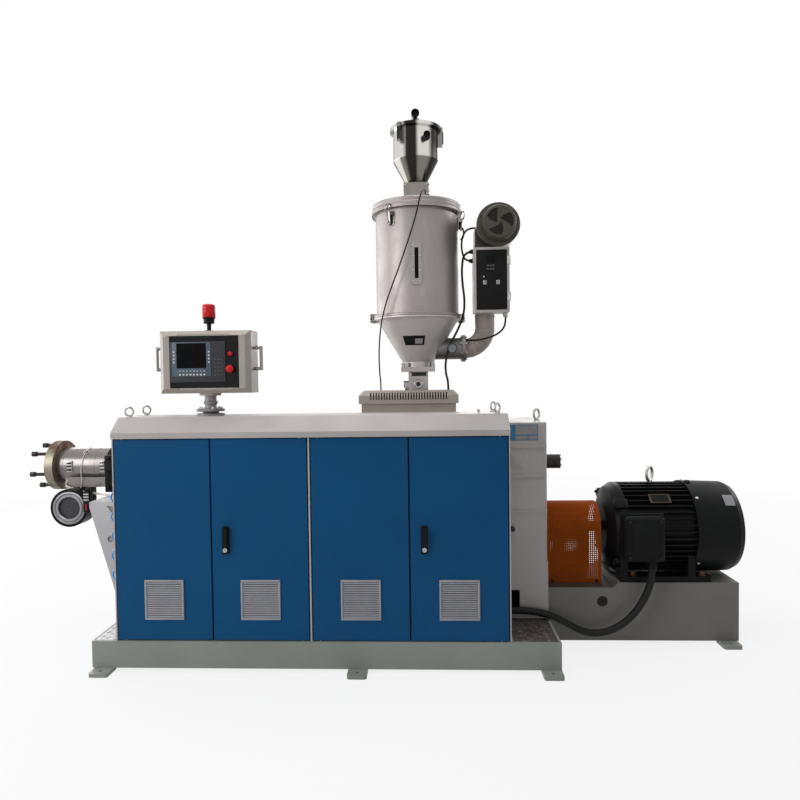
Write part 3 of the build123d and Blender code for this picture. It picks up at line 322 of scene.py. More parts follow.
# This dark plate finish is also the painted shade on the guard's inner faces.
dark_plate_and_shade = enamel("dark_plate_and_painted_shade", srgb(58, 52, 47), 0.5, chips=0.1, primer=srgb(90, 70, 55))
block((2287, 371, 320.4), (2652, 829, 321.6), 0.4, 1)
slope = Matrix.Translation((2653, 600, 320.4)) @ Matrix.Rotation(-math.pi / 4, 4, "Y")
block((0, -229, 0.2), (37, 229, 1.4), 0.4, 1, place=slope)
piece("guard_sill", dark_plate_and_shade)


# The cabinet is folded sheet in light grey enamel, with a middle post, a header and pivot pins for the doors.
# The barrel bracket beside it is welded plate in a paler grey. A small zinc knob stands on the hood.
light_enamel = enamel("light_enamel", srgb(176, 170, 167), 0.4, chips=0.015)
dress(light_enamel, "cabinet_walls", "cabinet_frame", "hood", "barrel_cover", "gearbox_case",
      "gearbox_pedestal")
dress(enamel("pale_enamel", srgb(178, 178, 180), 0.4, chips=0.02), "barrel_bracket")
# The web behind the bracket's window is a darker grey than the bracket: painted shade in the recess.
web = bmesh.new()
corners = ((-290, 814), (-64, 814), (-64, 540), (-226, 540))
flat = web.faces.new([web.verts.new((x, 337.5, z)) for x, z in corners])
bmesh.ops.solidify(web, geom=[flat], thickness=4)
shaped(web)
piece("bracket_web", enamel("web_enamel_painted_shade", srgb(154, 146, 140), 0.5))
FRONT, BACK, LEFT, RIGHT, UP, DOWN = (0, -1, 0), (0, 1, 0), (-1, 0, 0), (1, 0, 0), (0, 0, 1), (0, 0, -1)


def facing(at, way, beside="Y"):
    """A place at a point, with its height along way."""
    return Matrix.Translation(at) @ Vector(way).to_track_quat("Z", beside).to_matrix().to_4x4()


def turned(outline, at, axis, steps, mat=0):
    """A body turned about axis through at, from (radius, height) points."""
    part = bmesh.new()
    ring = [part.verts.new((r, 0, h)) for r, h in outline]
    line = [part.edges.new(pair) for pair in zip(ring, ring[1:])]
    bmesh.ops.spin(part, geom=ring + line, cent=(0, 0, 0), axis=UP, angle=2 * math.pi, steps=steps,
                   use_merge=True)
    shaped(part, facing(at, axis), mat)


zinc = worn_steel("zinc_plate", srgb(150, 148, 144), srgb(196, 194, 190), 0.34, 80)
dress(zinc, "door_pivots", "lifting_eyes")
knob = [(0, 20), (6, 19.5), (9, 16), (9, 10), (5, 7), (5, 3), (11, 2), (11, -1)]
turned(knob, (1894, 200, 1320), UP, 24)
piece("hood_knob", zinc)


# The doors are folded trays in blue satin powder coat. Each has a moulded louvre with sloping slats,
# and the right one of each pair a black swing handle with a zinc lock.
blue_coat = enamel("blue_powder_coat", srgb(5, 73, 117), 0.38, peel=0.0003, chips=0.005,
                   primer=srgb(60, 74, 84), fade=0.07, shine=0.12)
dress(blue_coat, "door_1", "door_2", "door_3", "door_4", "rear_panels")


def moulded(name, colour, rough, grain=0.0002, shine=0.18):
    """Moulded plastic with a fine grain and slight handling marks."""
    finish, shade, place = new_finish(name)
    soil = level(clouds(place, 18, 5), 0.4, 0.75)
    feed(shade, "Base Color", tint(soil, colour, [c * 0.85 + 0.004 for c in colour]))
    feed(shade, "Roughness", level(clouds(place, 35, 4), 0.3, 0.7, rough - 0.06, rough + 0.1))
    feed(shade, "Specular IOR Level", shine)
    raise_by(shade, clouds(place, 900, 2), grain, 0.4)
    return finish


def drawn(name):
    """The low and high corner of a CAD node's box on the workshop drawing."""
    return [to_frame.inverted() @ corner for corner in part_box(name)]


grille_moulding = moulded("grille_moulding", srgb(158, 158, 164), 0.5)
# Black moulded plastic, also used for plates and sheets that are painted shade.
black_moulding_and_shade = moulded("black_moulding_and_shade", srgb(17, 17, 18), 0.42, shine=0.1)
dress(black_moulding_and_shade, "handle_2", "handle_4")
rim = 11
slats = 16
slat_lean = Matrix.Rotation(math.radians(-34), 4, "X")
for k in (1, 2, 3, 4):
    low, high = drawn(f"grille_{k}")
    middle = (low + high) / 2
    left, right, bottom, top = low.x + rim, high.x - rim, low.z + rim, high.z - rim
    bars = ((low.x, low.z, high.x, bottom), (low.x, top, high.x, high.z), (low.x, bottom, left, top),
            (right, bottom, high.x, top))
    for x0, z0, x1, z1 in bars:
        block((x0, low.y, z0), (x1, high.y - 0.2, z1), 2.5)
    half = Vector(((right - left) / 2, 1.2, 4.5))
    for i in range(slats):
        centre = (middle.x, high.y - 3.6, bottom + (i + 0.5) * (top - bottom) / slats)
        block(-half, half, 0.6, 1, place=Matrix.Translation(centre) @ slat_lean)
    louvre = piece(f"louvre_{k}", grille_moulding, f"door_{k}")
    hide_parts(f"grille_{k}")
    # A black sheet behind each louvre is painted shade for the dark inside of the cabinet.
    block((left, middle.y + 7.6, bottom), (right, middle.y + 8.4, top), 0.2, 1)
    piece(f"shade_sheet_{k}", black_moulding_and_shade, f"door_{k}")
lock = [(0, 8.5), (4, 8.5), (5.2, 6), (10.5, 6), (11.5, 5), (11.5, -2), (0, -2)]
for k in (2, 4):
    low, high = drawn(f"handle_{k}")
    mid = (low.x + high.x) / 2
    turned(lock, (mid, low.y + 7.5, low.z + 23.8), FRONT, 28)
    block((mid - 1.2, low.y - 1.2, low.z + 19), (mid + 1.2, low.y, low.z + 28.6), 0.3, 1)
    block((mid - 9, low.y + 0.5, high.z - 22), (mid + 9, low.y + 1.5, high.z - 12), 0.4, 1)
    piece(f"lock_{k}", zinc, f"door_{k}")


# Rear covers close the barrel housing. They are the cabinet's light sheet with blue panels below,
# each held by quarter-turn screws along its edges.
low, high = drawn("rear_panels")
mid = (low.x + high.x) / 2
head = [(0, 4), (7, 3.5), (11, 0.8), (11, -1), (0, -1)]
for x in (low.x + 30, low.x + 500, mid - 30, mid + 30, high.x - 500, high.x - 30):
    for z in (low.z + 30, high.z - 30):
        turned(head, (x, high.y, z), BACK, 16)
piece("panel_screws", zinc)


# The barrel is a forged tube whose die flange is left bare, so it is stained brown with rust.
# Long black socket screws wait in the flange for the die.
def forged(name, colour, rust, share, rough):
    """Bare forged steel with rust that has run and been wiped."""
    finish, shade, place = new_finish(name)
    fine = tint(level(clouds(place, 160, 4), 0.3, 0.7), [c * 0.75 for c in colour], colour)
    stain = level(clouds(place, 11, 7, (1, 1, 0.45)), 0.62 - share, 0.76 - share)
    feed(shade, "Base Color", tint(stain, fine, rust))
    feed(shade, "Metallic", level(stain, 0, 1, 0.95, 0.1))
    feed(shade, "Roughness", level(stain, 0, 1, rough, 0.75))
    raise_by(shade, clouds(place, 130, 5), 0.0006, 0.5)
    return finish


dress(forged("rusty_flange_steel", srgb(140, 132, 118), srgb(88, 58, 36), 0.22, 0.42), "barrel")
# Blackened steel, also used for a disc and a strip that are painted shade.
black_steel_and_shade = worn_steel("blackened_steel_and_shade", srgb(24, 22, 21), srgb(48, 45, 43), 0.42, 40)
dress(black_steel_and_shade, "flange_screws", "gearbox_tail", "coupling")


# The heater jacket is bright sheet clamped round the barrel with bands and a black terminal cover.
# A thermocouple lead comes from a port near the flange, and pale heater wires hang below.
def bright_sheet(name, colour, rough, brush=(1, 1, 0.03), marks=0.4, depth=0.00012, metal=0.9):
    """Rolled stainless sheet with its brush lines, wipe marks and handling haze."""
    finish, shade, place = new_finish(name)
    lines = clouds(place, 260, 3, brush)
    haze = level(clouds(place, 6, 6), 0.4, 0.75, 0, marks)
    tone = tint(level(lines, 0.3, 0.7), [c * 0.88 for c in colour], colour)
    feed(shade, "Base Color", tint(haze, tone, [c * 0.7 for c in colour]))
    feed(shade, "Roughness", level(haze, 0, marks, rough, rough + 0.16))
    feed(shade, "Metallic", metal)
    raise_by(shade, lines, depth, 0.4)
    return finish


jacket_sheet = bright_sheet("jacket_sheet", srgb(130, 124, 123), 0.24, (0.03, 1, 1), 0.12, 0.00003, 0.8)
dress(jacket_sheet, "heater_jacket")
low, high = drawn("heater_jacket")
axis_y, barrel_z = 600, 1005
band = [(105.5, 0), (107.2, 0.5), (107.2, 19.5), (105.5, 20)]
for x in (low.x + 4, low.x + 200, high.x - 50):
    turned(band, (x, axis_y, barrel_z), RIGHT, 64)
piece("jacket_bands", jacket_sheet)
turned([(107, 0), (113.5, 1), (113.5, 56), (107, 57)], (low.x + 290, axis_y, barrel_z), RIGHT, 64)
block((low.x + 292, 472, 855), (low.x + 345, 510, 1075), 6, 3)
for z in (885, 975, 1055):
    turned([(0, 12), (8, 12), (9, 10), (9, 0)], (low.x + 318, 472, z), FRONT, 6)
for x, wide in ((low.x + 53, 32), (low.x + 256, 26)):
    block((x, 489, 975), (x + wide, 502, 1041), 2, mat=1)
    for z in (984, 1007, 1025):
        block((x + 3, 480, z), (x + wide - 3, 490, z + 8), 2)
piece("jacket_terminals", [black_moulding_and_shade, zinc])
port_turn = math.radians(51)
outward = Vector((0, -math.cos(port_turn), math.sin(port_turn)))
port = Vector((-440, axis_y, barrel_z)) + 106 * outward
turned([(12, 0.5), (12.5, 4), (16.5, 4.5), (18, 2), (18, -3)], port, outward, 28)
turned([(0, 1), (12.5, 1), (12.5, -2), (0, -2)], port, outward, 28, mat=1)
piece("jacket_port", [zinc, black_steel_and_shade])


def skin(part, rings):
    """Faces from each ring of points to the next."""
    for one, two in zip(rings, rings[1:]):
        for k in range(len(one)):
            after = (k + 1) % len(one)
            part.faces.new((one[k], one[after], two[after], two[k]))


def tube(points, radius, steps=6, sides=8):
    """A bent round bar or wire through points, with flat ends."""
    points = [Vector(p) for p in points]
    ends = [2 * points[0] - points[1]] + points + [2 * points[-1] - points[-2]]
    line = []
    for a, b, c, d in zip(ends, ends[1:], ends[2:], ends[3:]):
        for i in range(steps):
            t = i / steps
            bow = (2 * a - 5 * b + 4 * c - d) * t * t + (3 * b - a - 3 * c + d) * t ** 3
            line.append(0.5 * (2 * b + (c - a) * t + bow))
    line.append(points[-1])
    part = bmesh.new()
    side = (line[1] - line[0]).orthogonal().normalized()
    rings = []
    for i, at in enumerate(line):
        way = (line[min(i + 1, len(line) - 1)] - line[max(i - 1, 0)]).normalized()
        side = (side - way * side.dot(way)).normalized()
        ring = [at + x * side + y * way.cross(side) for x, y in circle(sides, radius)]
        rings.append([part.verts.new(p) for p in ring])
    skin(part, rings)
    part.faces.new(rings[0][::-1])
    part.faces.new(rings[-1])
    shaped(part)


def circle(count, radius, first=0):
    """Points spaced evenly round a circle, from an angle in degrees."""
    turns = [math.radians(first + 360 * k / count) for k in range(count)]
    return [(radius * math.cos(a), radius * math.sin(a)) for a in turns]


lead = []
for i in range(6):
    a = math.radians(85 - 17 * i)
    lead.append((port.x + 3 - 2.4 * i, axis_y - 110 * math.cos(a), barrel_z + 110 * math.sin(a)))
lead += [(-452, 488, 985), (-456, 499, 940), (-462, 510, 905), (-468, 511, 876), (-474, 530, 862)]
tube(lead, 1.7)
wire = ((-556, 508, 896), (-524, 500, 882), (-484, 490, 866), (-420, 486, 858), (-367, 484, 852),
        (-322, 478, 846), (-262, 474, 840))
for drop in (0, 7):
    tube([(-556 + drop, 520, 930)] + [(x, y, z - drop) for x, y, z in wire], 3)
piece("heater_wires", moulded("pale_wire", srgb(232, 228, 218), 0.6))


# The cooling blower under the barrel has a black cast housing and a spun bright ring round its intake,
# which woven wire covers. Its plug and terminals hang beside it.
black_enamel = enamel("black_motor_enamel", srgb(14, 15, 16), 0.4, chips=0.02, primer=srgb(40, 37, 34),
                      fade=0.18, shine=0.09)
dress(black_enamel, "barrel_fan", "motor_body", "terminal_box", "motor_cowl")
intake = Vector((-503, 440, 768))
spun = [(60, -30), (62, -2), (68, 4), (78, 4), (83, -0.5), (88, 4), (95, 3), (98, -1), (98, -6)]
turned(spun, intake, FRONT, 64)
ring_steel = bright_sheet("spun_ring_steel", srgb(142, 141, 144), 0.3, (1, 1, 1), 0.15, 0.00004)
piece("fan_ring", ring_steel)
hub = [(0, -20), (20, -20), (22, -26), (61.5, -26), (61.5, -30), (0, -30)]
turned(hub, intake, FRONT, 48)
blades = 14
half = Vector((19.5, 1.2, 3))
blade = Matrix.Translation((41, 0, 0)) @ Matrix.Rotation(math.radians(50), 4, "X")
for i in range(blades):
    turn = Matrix.Rotation(i * 2 * math.pi / blades, 4, "Y")
    block(-half, half, 0.5, 1, place=Matrix.Translation(intake + Vector((0, 20, 0))) @ turn @ blade)
piece("fan_wheel", black_moulding_and_shade)


def wire_disc(centre, radius, half, depth, pitch=4):
    """Woven wire over a round opening, upright and level."""
    count = int(radius / pitch)
    for k in range(-count, count + 1):
        at = pitch * k
        reach = math.sqrt(radius ** 2 - at ** 2)
        upright = Vector((half, 0.5, reach))
        across = Vector((reach, 0.5, half))
        middle = centre + Vector((at, depth + 0.5, 0))
        block(middle - upright, middle + upright, 0)
        middle = centre + Vector((0, depth - 0.2, at))
        block(middle - across, middle + across, 0)


wire_disc(intake, 61.5, 0.9, 10.5)
mesh_steel = worn_steel("fan_mesh_steel", srgb(62, 62, 64), srgb(82, 82, 84), 0.45, 60)
piece("fan_mesh", mesh_steel)
red_moulding = moulded("red_moulding", srgb(196, 26, 30), 0.2, 0.00005)
block((-416, 434, 742), (-374, 476, 866), 6, 3)
block((-408, 438, 862), (-382, 472, 884), 3)
block((-400, 433, 756), (-393, 435, 794), 0.6, 1, mat=1)
for z in (812, 829, 846):
    block((-411, 432.5, z), (-380, 435.5, z + 9), 1, 1, mat=2)
piece("fan_plug", [black_moulding_and_shade, red_moulding, zinc])


# The gear case is a casting in the cabinet's light enamel, bolted along its joints.
# It carries a bare blue and white name plate, a cast pad and an oil plug.
plate_blue = moulded("plate_blue", srgb(66, 118, 160), 0.35)
plate_pale = moulded("plate_pale", srgb(150, 148, 150), 0.35)
gear_face = 330
block((2074, gear_face - 1.5, 1156), (2232, gear_face, 1244), 0.6, 1)
for x0, x1, z0, z1 in ((2108, 2228, 1188, 1240), (2108, 2174, 1161, 1182), (2178, 2228, 1161, 1182)):
    block((x0, gear_face - 2.1, z0), (x1, gear_face - 1.5, z1), 0.2, 1, mat=1)
piece("gear_plate", [plate_blue, plate_pale])


def screw_heads(name, places, way, across, tall, finish, body="machine", sides=6):
    """Hexagon heads on washers, all facing one way."""
    washer = [(0, 2), (across * 0.66, 2), (across * 0.7, 1), (across * 0.7, 0), (0, 0)]
    for at in places:
        head = bmesh.new()
        bmesh.ops.create_cone(head, cap_ends=True, segments=sides, radius1=across / 2, radius2=across / 2,
                              depth=tall)
        round_edges(head, tall * 0.12, 1)
        shaped(head, facing(at, way) @ Matrix.Translation((0, 0, tall / 2 + 1.5)))
        turned(washer, at, way, 20)
    return piece(name, finish, body)


block((2079, gear_face - 5, 1001), (2144, gear_face + 2, 1084), 4, 3)
block((2090, gear_face - 6.5, 1012), (2133, gear_face - 4, 1073))
piece("gear_pad", light_enamel)
plug = [(0, 26), (9, 26), (13, 22), (13.5, 12), (8, 8), (8, 3), (15, 2), (15, -2), (0, -2)]
turned(plug, (2086, gear_face, 663), FRONT, 24)
piece("gear_plugs", black_steel_and_shade)
joints = [(x, gear_face, z) for z in (763, 959, 1123) for x in (2074, 2166, 2258)]
screw_heads("gear_joint_bolts", joints, FRONT, 12, 6, light_enamel)
low, high = drawn("gearbox_tail")
tail = Vector((high.x, (low.y + high.y) / 2, (low.z + high.z) / 2))
screw_heads("tail_bolts", [tail + Vector((0, y, z)) for y, z in circle(6, 36, 30)], RIGHT, 12, 7, zinc)


# The coupling guard is a bent sheet of orange perforated steel, painted dark on its inner faces as shade, so
# that its holes show dark.
# Black screws hold it to the stand in front.
orange_enamel = enamel("orange_enamel", srgb(152, 71, 14), 0.62, chips=0.02, primer=srgb(92, 46, 18),
                       fade=0.12, shine=0.04)
dress(orange_enamel, "coupling_guard")


def bent(columns, rows, lay, thick, hole=None, mat=0):
    """A sheet laid by lay(u, v) over two lists of lines, with a round hole in each inner cell by share."""
    part = bmesh.new()
    grid = [[part.verts.new(lay(u, v)) for v in rows] for u in columns]
    for i in range(len(columns) - 1):
        for j in range(len(rows) - 1):
            corners = (grid[i][j], grid[i + 1][j], grid[i + 1][j + 1], grid[i][j + 1])
            if not hole or i in (0, len(columns) - 2) or j in (0, len(rows) - 2):
                part.faces.new(corners)
                continue
            u, v = (columns[i] + columns[i + 1]) / 2, (rows[j] + rows[j + 1]) / 2
            across, along = hole * (columns[i + 1] - columns[i]) / 2, hole * (rows[j + 1] - rows[j]) / 2
            edge = [part.verts.new(lay(u + across * x, v + along * y)) for x, y in circle(8, 1, -158)]
            for k in range(4):
                part.faces.new((corners[k], edge[2 * k], edge[(2 * k - 1) % 8]))
                part.faces.new((corners[k], corners[(k + 1) % 4], edge[2 * k + 1], edge[2 * k]))
    bmesh.ops.recalc_face_normals(part, faces=part.faces)
    bmesh.ops.solidify(part, geom=part.faces[:], thickness=thick)
    shaped(part, mat=mat)


shaft_z = 619
guard_rise, guard_bend = 297.2, 148.5
guard_length = 2 * guard_rise + guard_bend * math.pi


def guard_sheet(u, v):
    """Up the front, over the coupling and down the back, v along the bend."""
    x = 2300 + u
    if v < guard_rise:
        return x, axis_y - guard_bend, 321.8 + v
    turn = (v - guard_rise) / guard_bend
    if turn < math.pi:
        return x, axis_y - guard_bend * math.cos(turn), shaft_z + guard_bend * math.sin(turn)
    return x, axis_y + guard_bend, shaft_z + guard_rise + guard_bend * math.pi - v


pitch = 11
columns = [0] + [17 + pitch * k for k in range(26)] + [309]
rows = [0] + [guard_length / 2 + pitch * (k - 46) for k in range(93)] + [guard_length]
bent(columns, rows[:66], guard_sheet, 2, 0.5)
bent(columns, rows[65:], guard_sheet, 2, 0.3)
# Faces that look in towards the shaft take the dark finish: painted shade inside the guard.
bench.normal_update()
shaft = spot(0, axis_y, shaft_z)
for face in bench.faces:
    centre = face.calc_center_median()
    inward = Vector((0, shaft.y - centre.y, min(0, shaft.z - centre.z))).normalized()
    face.material_index = 1 if face.normal.dot(inward) > 0.5 else 0
guard = piece("guard_sheet", [orange_enamel, dark_plate_and_shade], soft=20)
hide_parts("coupling_guard")
feet = [(2330, 450, 334), (2580, 450, 334)]
screw_heads("guard_screws", feet, FRONT, 14, 6, black_steel_and_shade)


# The motor is a finned casting in black enamel. A brass rating plate, left bare, is riveted over the fins,
# and plated screws hold the cowl.
def round_motor(x, radius, degrees):
    """A point round the motor's axis, 0 in front and 90 on top, and the way out of it."""
    a = math.radians(degrees)
    way = Vector((0, -math.cos(a), math.sin(a)))
    return Vector((x, axis_y, shaft_z)) + radius * way, way


brass = worn_steel("rating_plate_brass", srgb(54, 46, 31), srgb(80, 67, 46), 0.42, 40)
at, way = round_motor(2930, 257.6, 48)
plate = facing(at, way, "X")
block((-31, -59, 0), (31, 59, 1.6), 0.5, 1, place=plate)
block((-26, -48, 1.6), (26, 48, 2.1), 0.2, 1, mat=1, place=plate)
for u in (-27, 27):
    for v in (-53.5, 53.5):
        turned([(0, 2), (2, 1.6), (3, 0)], plate @ Vector((u, v, 1.6)), way, 10)
piece("rating_plate", [brass, black_enamel])
turned([(0, 11), (14, 10), (19, 6), (21, 0), (21, -4)], *round_motor(3136, 265, 82), 24)
piece("cowl_cap", black_enamel)
for a in (47, -40, 100, 160, 220):
    turned([(0, 5), (4, 4.8), (8, 3), (8.5, 0), (8.5, -3)], *round_motor(3133, 265.3, a), 14)
piece("cowl_screws", zinc)
along = [3280 + 9.4 * k for k in range(7)]
bent(along, [37 + 2.6 * k for k in range(7)],
     lambda u, v: round_motor(u, 266.9 - 0.0346 * (u - 3110), v)[0], 0.6)
piece("cowl_plate", plate_pale)
rusty_bolt = forged("rusty_bolt", srgb(110, 92, 78), srgb(96, 62, 42), 0.3, 0.6)
motor_feet = [(x, y, 379) for x in (2771, 3158) for y in (412, 788)]
screw_heads("motor_foot_bolts", motor_feet, UP, 34, 21, rusty_bolt)
lugs = (40, 140, 220, 320)
bell = [round_motor(2674, 262, a)[0] for a in lugs]
screw_heads("bell_bolts", bell, LEFT, 18, 10, black_enamel)
for x in (2712, 2879):
    for z in (516, 714):
        turned([(2.5, 2), (3, 4.5), (6, 4.5), (6.8, 3), (6.8, -1)], (x, 262, z), FRONT, 16)
        turned([(0, 2), (3, 2), (3, -1)], (x, 262, z), FRONT, 6)
piece("box_screws", black_steel_and_shade)
block((2724, 260.6, 528), (2867, 262.5, 702), 1.4)
block((2686, 303, 490), (2905, 309, 740), 2)
for a in lugs:
    block((-30, -34, -12), (30, 40, 14), 6, 3, place=facing(*round_motor(2707, 256, a), "X"))
for z, radius, sides in ((455, 30, 32), (468, 34, 6)):
    gland = [(20, -4), (radius - 3, -4), (radius, -1), (radius, 11), (radius - 3, 13), (20, 13)]
    turned(gland, (2840, 300, z), UP, sides)
piece("box_trim", black_enamel)


# Cables are black rubber with a dull bloom. The motor cable hangs from the terminal box in one long sag
# to a gland in the cabinet's end wall.
def rubber(name, colour, rough):
    """Cable rubber, duller where it has bloomed."""
    finish, shade, place = new_finish(name)
    bloom = level(clouds(place, 22, 5), 0.45, 0.8)
    feed(shade, "Base Color", tint(bloom, colour, [c * 1.5 + 0.006 for c in colour]))
    feed(shade, "Roughness", level(bloom, 0, 1, rough, rough + 0.2))
    feed(shade, "Specular IOR Level", 0.15)
    raise_by(shade, clouds(place, 500, 2), 0.0003, 0.4)
    return finish


def cable(name, route, diameter, finish):
    """One cable on a smooth curve through the drawing's route, which stands for the plain CAD tube."""
    line = bpy.data.curves.new(name, "CURVE")
    line.dimensions = "3D"
    spline = line.splines.new("NURBS")
    spline.points.add(len(route) - 1)
    for point, corner in zip(spline.points, route):
        point.co = (*spot(*corner), 1)
    spline.order_u = 3
    spline.use_endpoint_u = True
    spline.resolution_u = 12
    line.bevel_depth = diameter / 2
    line.bevel_resolution = 5
    line.use_fill_caps = True
    line.materials.append(finish)
    made = bpy.data.objects.new(name, line)
    scene.collection.objects.link(made)
    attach(made, "machine")
    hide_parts(name[:-5])
    bare = line.copy()
    bare.bevel_depth = 0
    probe = bpy.data.objects.new("probe", bare)
    path = bpy.data.meshes.new_from_object(probe)
    bpy.data.objects.remove(probe)
    bpy.data.curves.remove(bare)
    bpy.data.meshes.remove(path)


motor_route = [(2840, 300, 450), (2840, 300, 380), (2806, 300, 290), (2745, 300, 192), (2650, 300, 114),
               (2550, 300, 84), (2455, 300, 97), (2365, 300, 152), (2275, 300, 194), (2165, 300, 215),
               (2065, 300, 215)]
cable("motor_cable_line", motor_route, 0.039, rubber("cable_rubber", srgb(24, 24, 25), 0.5))


# A blue polyurethane air hose hangs in loose waves on the cabinet's left wall.
# It is held between two black push-in fittings.
hose_blue = moulded("hose_blue", srgb(58, 148, 226), 0.25, 0.00002, 0.5)
hose_wave = [(-31, 960), (-31, 938), (-62, 900), (-22, 848.5), (-64, 797), (-22, 745.5), (-61, 694),
             (-22, 642.5), (-64, 591), (-22, 539.5), (-62, 488), (-31, 450), (-31, 428)]
cable("air_hose_line", [(x, 60, z) for x, z in hose_wave], 0.008, hose_blue)
for z, way in ((960, DOWN), (428, UP)):
    turned([(4.2, 7), (6.2, 6.8), (6.6, 6), (6.6, 0), (4.2, -0.5)], (-31, 60, z), way, 20)
piece("hose_collars", black_moulding_and_shade)


# The feed cover is a folded box in warm grey enamel that stands on the hood.
# A row of cooling slots is cut along its front slope, with black plates in them as painted shade.
warm_enamel = enamel("warm_enamel", srgb(164, 156, 148), 0.42, chips=0.01)
dress(warm_enamel, "feed_cover", "panel_box")
# Black plates in the slots: painted shade.
for k in range(29):
    x = 1293.2 + 15.5 * k
    block((x, 456, 1386.5), (x + 6.6, 459.8, 1427.5), 0)
piece("slot_shade_plates", black_moulding_and_shade)


# The hopper is spun and rolled sheet with a satin silver finish. Cone, drum and lid meet at rolled flanges.
# A slide valve of machined steel closes its outlet, with a sampling spout in front.
hopper_satin = bright_sheet("hopper_satin", srgb(152, 145, 143), 0.4, marks=0.25, metal=0.6)
dress(hopper_satin, "hopper_cylinder", "hopper_lid")
# The cone takes a paler, less metallic copy of the satin sheet: painted light on its down-facing slope.
dress(bright_sheet("cone_satin_painted_light", srgb(184, 178, 176), 0.45, marks=0.2, metal=0.45), "hopper_cone")
dress(bright_sheet("inlet_steel", srgb(116, 112, 112), 0.4, (0.03, 1, 1), 0.3), "air_inlet")
polished = bright_sheet("polished_stainless", srgb(134, 131, 127), 0.1, marks=0.3, depth=0.00004, metal=1)
dress(polished, "hopper_window", "loader_fittings", "panel_grips")
machined = bright_sheet("machined_steel", srgb(152, 147, 145), 0.32, (0.05, 1, 1), 0.35)
dress(machined, "feed_valve")
hopper_x = 1570
spout = (hopper_x, drawn("feed_valve")[0].y, 1475)
ring = [(12.5, -6), (13.5, 0.5), (23.5, 0.5), (26.8, -3), (26.8, -20), (20.5, -22)]
turned(ring, spout, FRONT, 32)
# The black disc in the spout is painted shade for its bore, and the black strip below it is painted shade for
# the valve's slot.
turned([(0, -1), (13.5, -1), (13.5, -4)], spout, FRONT, 32, mat=1)
block((1532, 540.5, 1522), (1617, 543, 1545), 0.5, 1, mat=1)
block((1522, 534, 1518), (1531, 543, 1548), 2)
block((1618, 534, 1518), (1627, 543, 1548), 2)
block((1490, 548, 1440), (1530, 602, 1487), 3)
for x in (-30, 30):
    for z in (1448, 1502):
        turned([(0, 5), (4, 5), (5.5, 3.5), (5.5, 0), (0, 0)], (hopper_x + x, 532, z), FRONT, 12)


def about_hopper(degrees, z=0):
    """A place on the hopper's axis, turned about it."""
    return Matrix.Translation((hopper_x, axis_y, z)) @ Matrix.Rotation(math.radians(degrees), 4, "Z")


for turn in (0, 90, 180, 270):
    for out in (-60, 60):
        block((out - 3, -98, 0), (out + 3, -76, 26), 1, 1, place=about_hopper(turn, 1576))
piece("valve_trim", [machined, black_steel_and_shade])
valve_bolts = [(hopper_x + x, axis_y + y, 1576) for x in (-86, 86) for y in (-86, 0, 86)]
screw_heads("valve_bolts", valve_bolts, UP, 13, 8, zinc)
glass = moulded("dark_glass", srgb(9, 10, 11), 0.08, 0.00001, 0.05)
block((1559, 347.2, 2066), (1581, 351.5, 2237), 1.2)
piece("window_glass", glass)
window = [(hopper_x + x, 348.3, z) for x in (-19, 19) for z in (2052, 2112, 2190, 2251)]
screw_heads("window_screws", window, FRONT, 7.5, 3, zinc, sides=14)


def on_cone(degrees, z, proud=1.2):
    """A point just off the hopper's cone."""
    a = math.radians(degrees - 4)
    out = 94 + 0.59 * (z - 1606) + proud
    return hopper_x + out * math.sin(a), axis_y - out * math.cos(a), z


bent([-24 + 4.2 * k for k in range(11)], [1700, 1713, 1726, 1739, 1752], on_cone, 0.8)
bent([-1 + 3 * k for k in range(6)], [1708, 1722, 1736], lambda u, v: on_cone(u, v, 1.9), 0.8, mat=1)
piece("cone_plate", [black_moulding_and_shade, plate_pale])
bead = [(263.5, -2.5), (265.5, -2), (266.2, 0), (265.5, 2), (263.5, 2.5)]
for z in (1853, 1877, 2471, 2487):
    turned(bead, (hopper_x, axis_y, z), UP, 96)
for z in (1865, 2467):
    turned([(262, -1.2), (264.5, -1.2), (264.5, 1.2), (262, 1.2)], (hopper_x, axis_y, z), UP, 96, mat=1)
lid = (hopper_x, axis_y, 2490)
turned([(258, 0.8), (261.9, 0.8), (261.9, 3), (258, 3)], lid, UP, 96, mat=1)
rolled = [(260.5, -1), (261.2, 4), (258.8, 8), (258.8, 16), (261.2, 20), (261.2, 30), (258.8, 33.5),
          (254, 34.5), (200, 34.5), (196, 33)]
turned(rolled, lid, UP, 96)
piece("hopper_beads", [hopper_satin, black_moulding_and_shade])
bail = ((266, 12, 2436), (279, 12, 2450), (283, 12, 2470), (281, 11.5, 2486), (277, 6, 2490.5),
        (276, 0, 2491))
grip = [(0, 6), (9.5, 6), (11.2, 4), (11.5, -4), (0, -4)]
for a in (-125, -5, 115):
    place = about_hopper(a)
    block((243.5, -20, 2374), (249, 20, 2452), 1.2, place=place)
    for side in (-1, 1):
        block((248, side * 16.5 - 1.5, 2424), (270, side * 16.5 + 1.5, 2446), 1, 1, place=place)
        tube([place @ Vector((x, side * y, z)) for x, y, z in bail], 1.8, 4)
    block((265.5, -13, 2470), (270, 13, 2489), 1, place=place)
    block((265.5, -13, 2482), (279, 13, 2487.5), place=place)
    lever = place @ Matrix.Translation((268, 0, 2436)) @ Matrix.Rotation(math.radians(6), 4, "Y")
    block((-4, -11.5, -52), (6, 11.5, 12), 3, 3, place=lever)
    turned(grip, lever @ Vector((0, 0, -52)), lever.to_3x3() @ Vector(RIGHT), 20)
    block((249, -13.5, 2384), (262.5, 13.5, 2430), 2, mat=1, place=place)
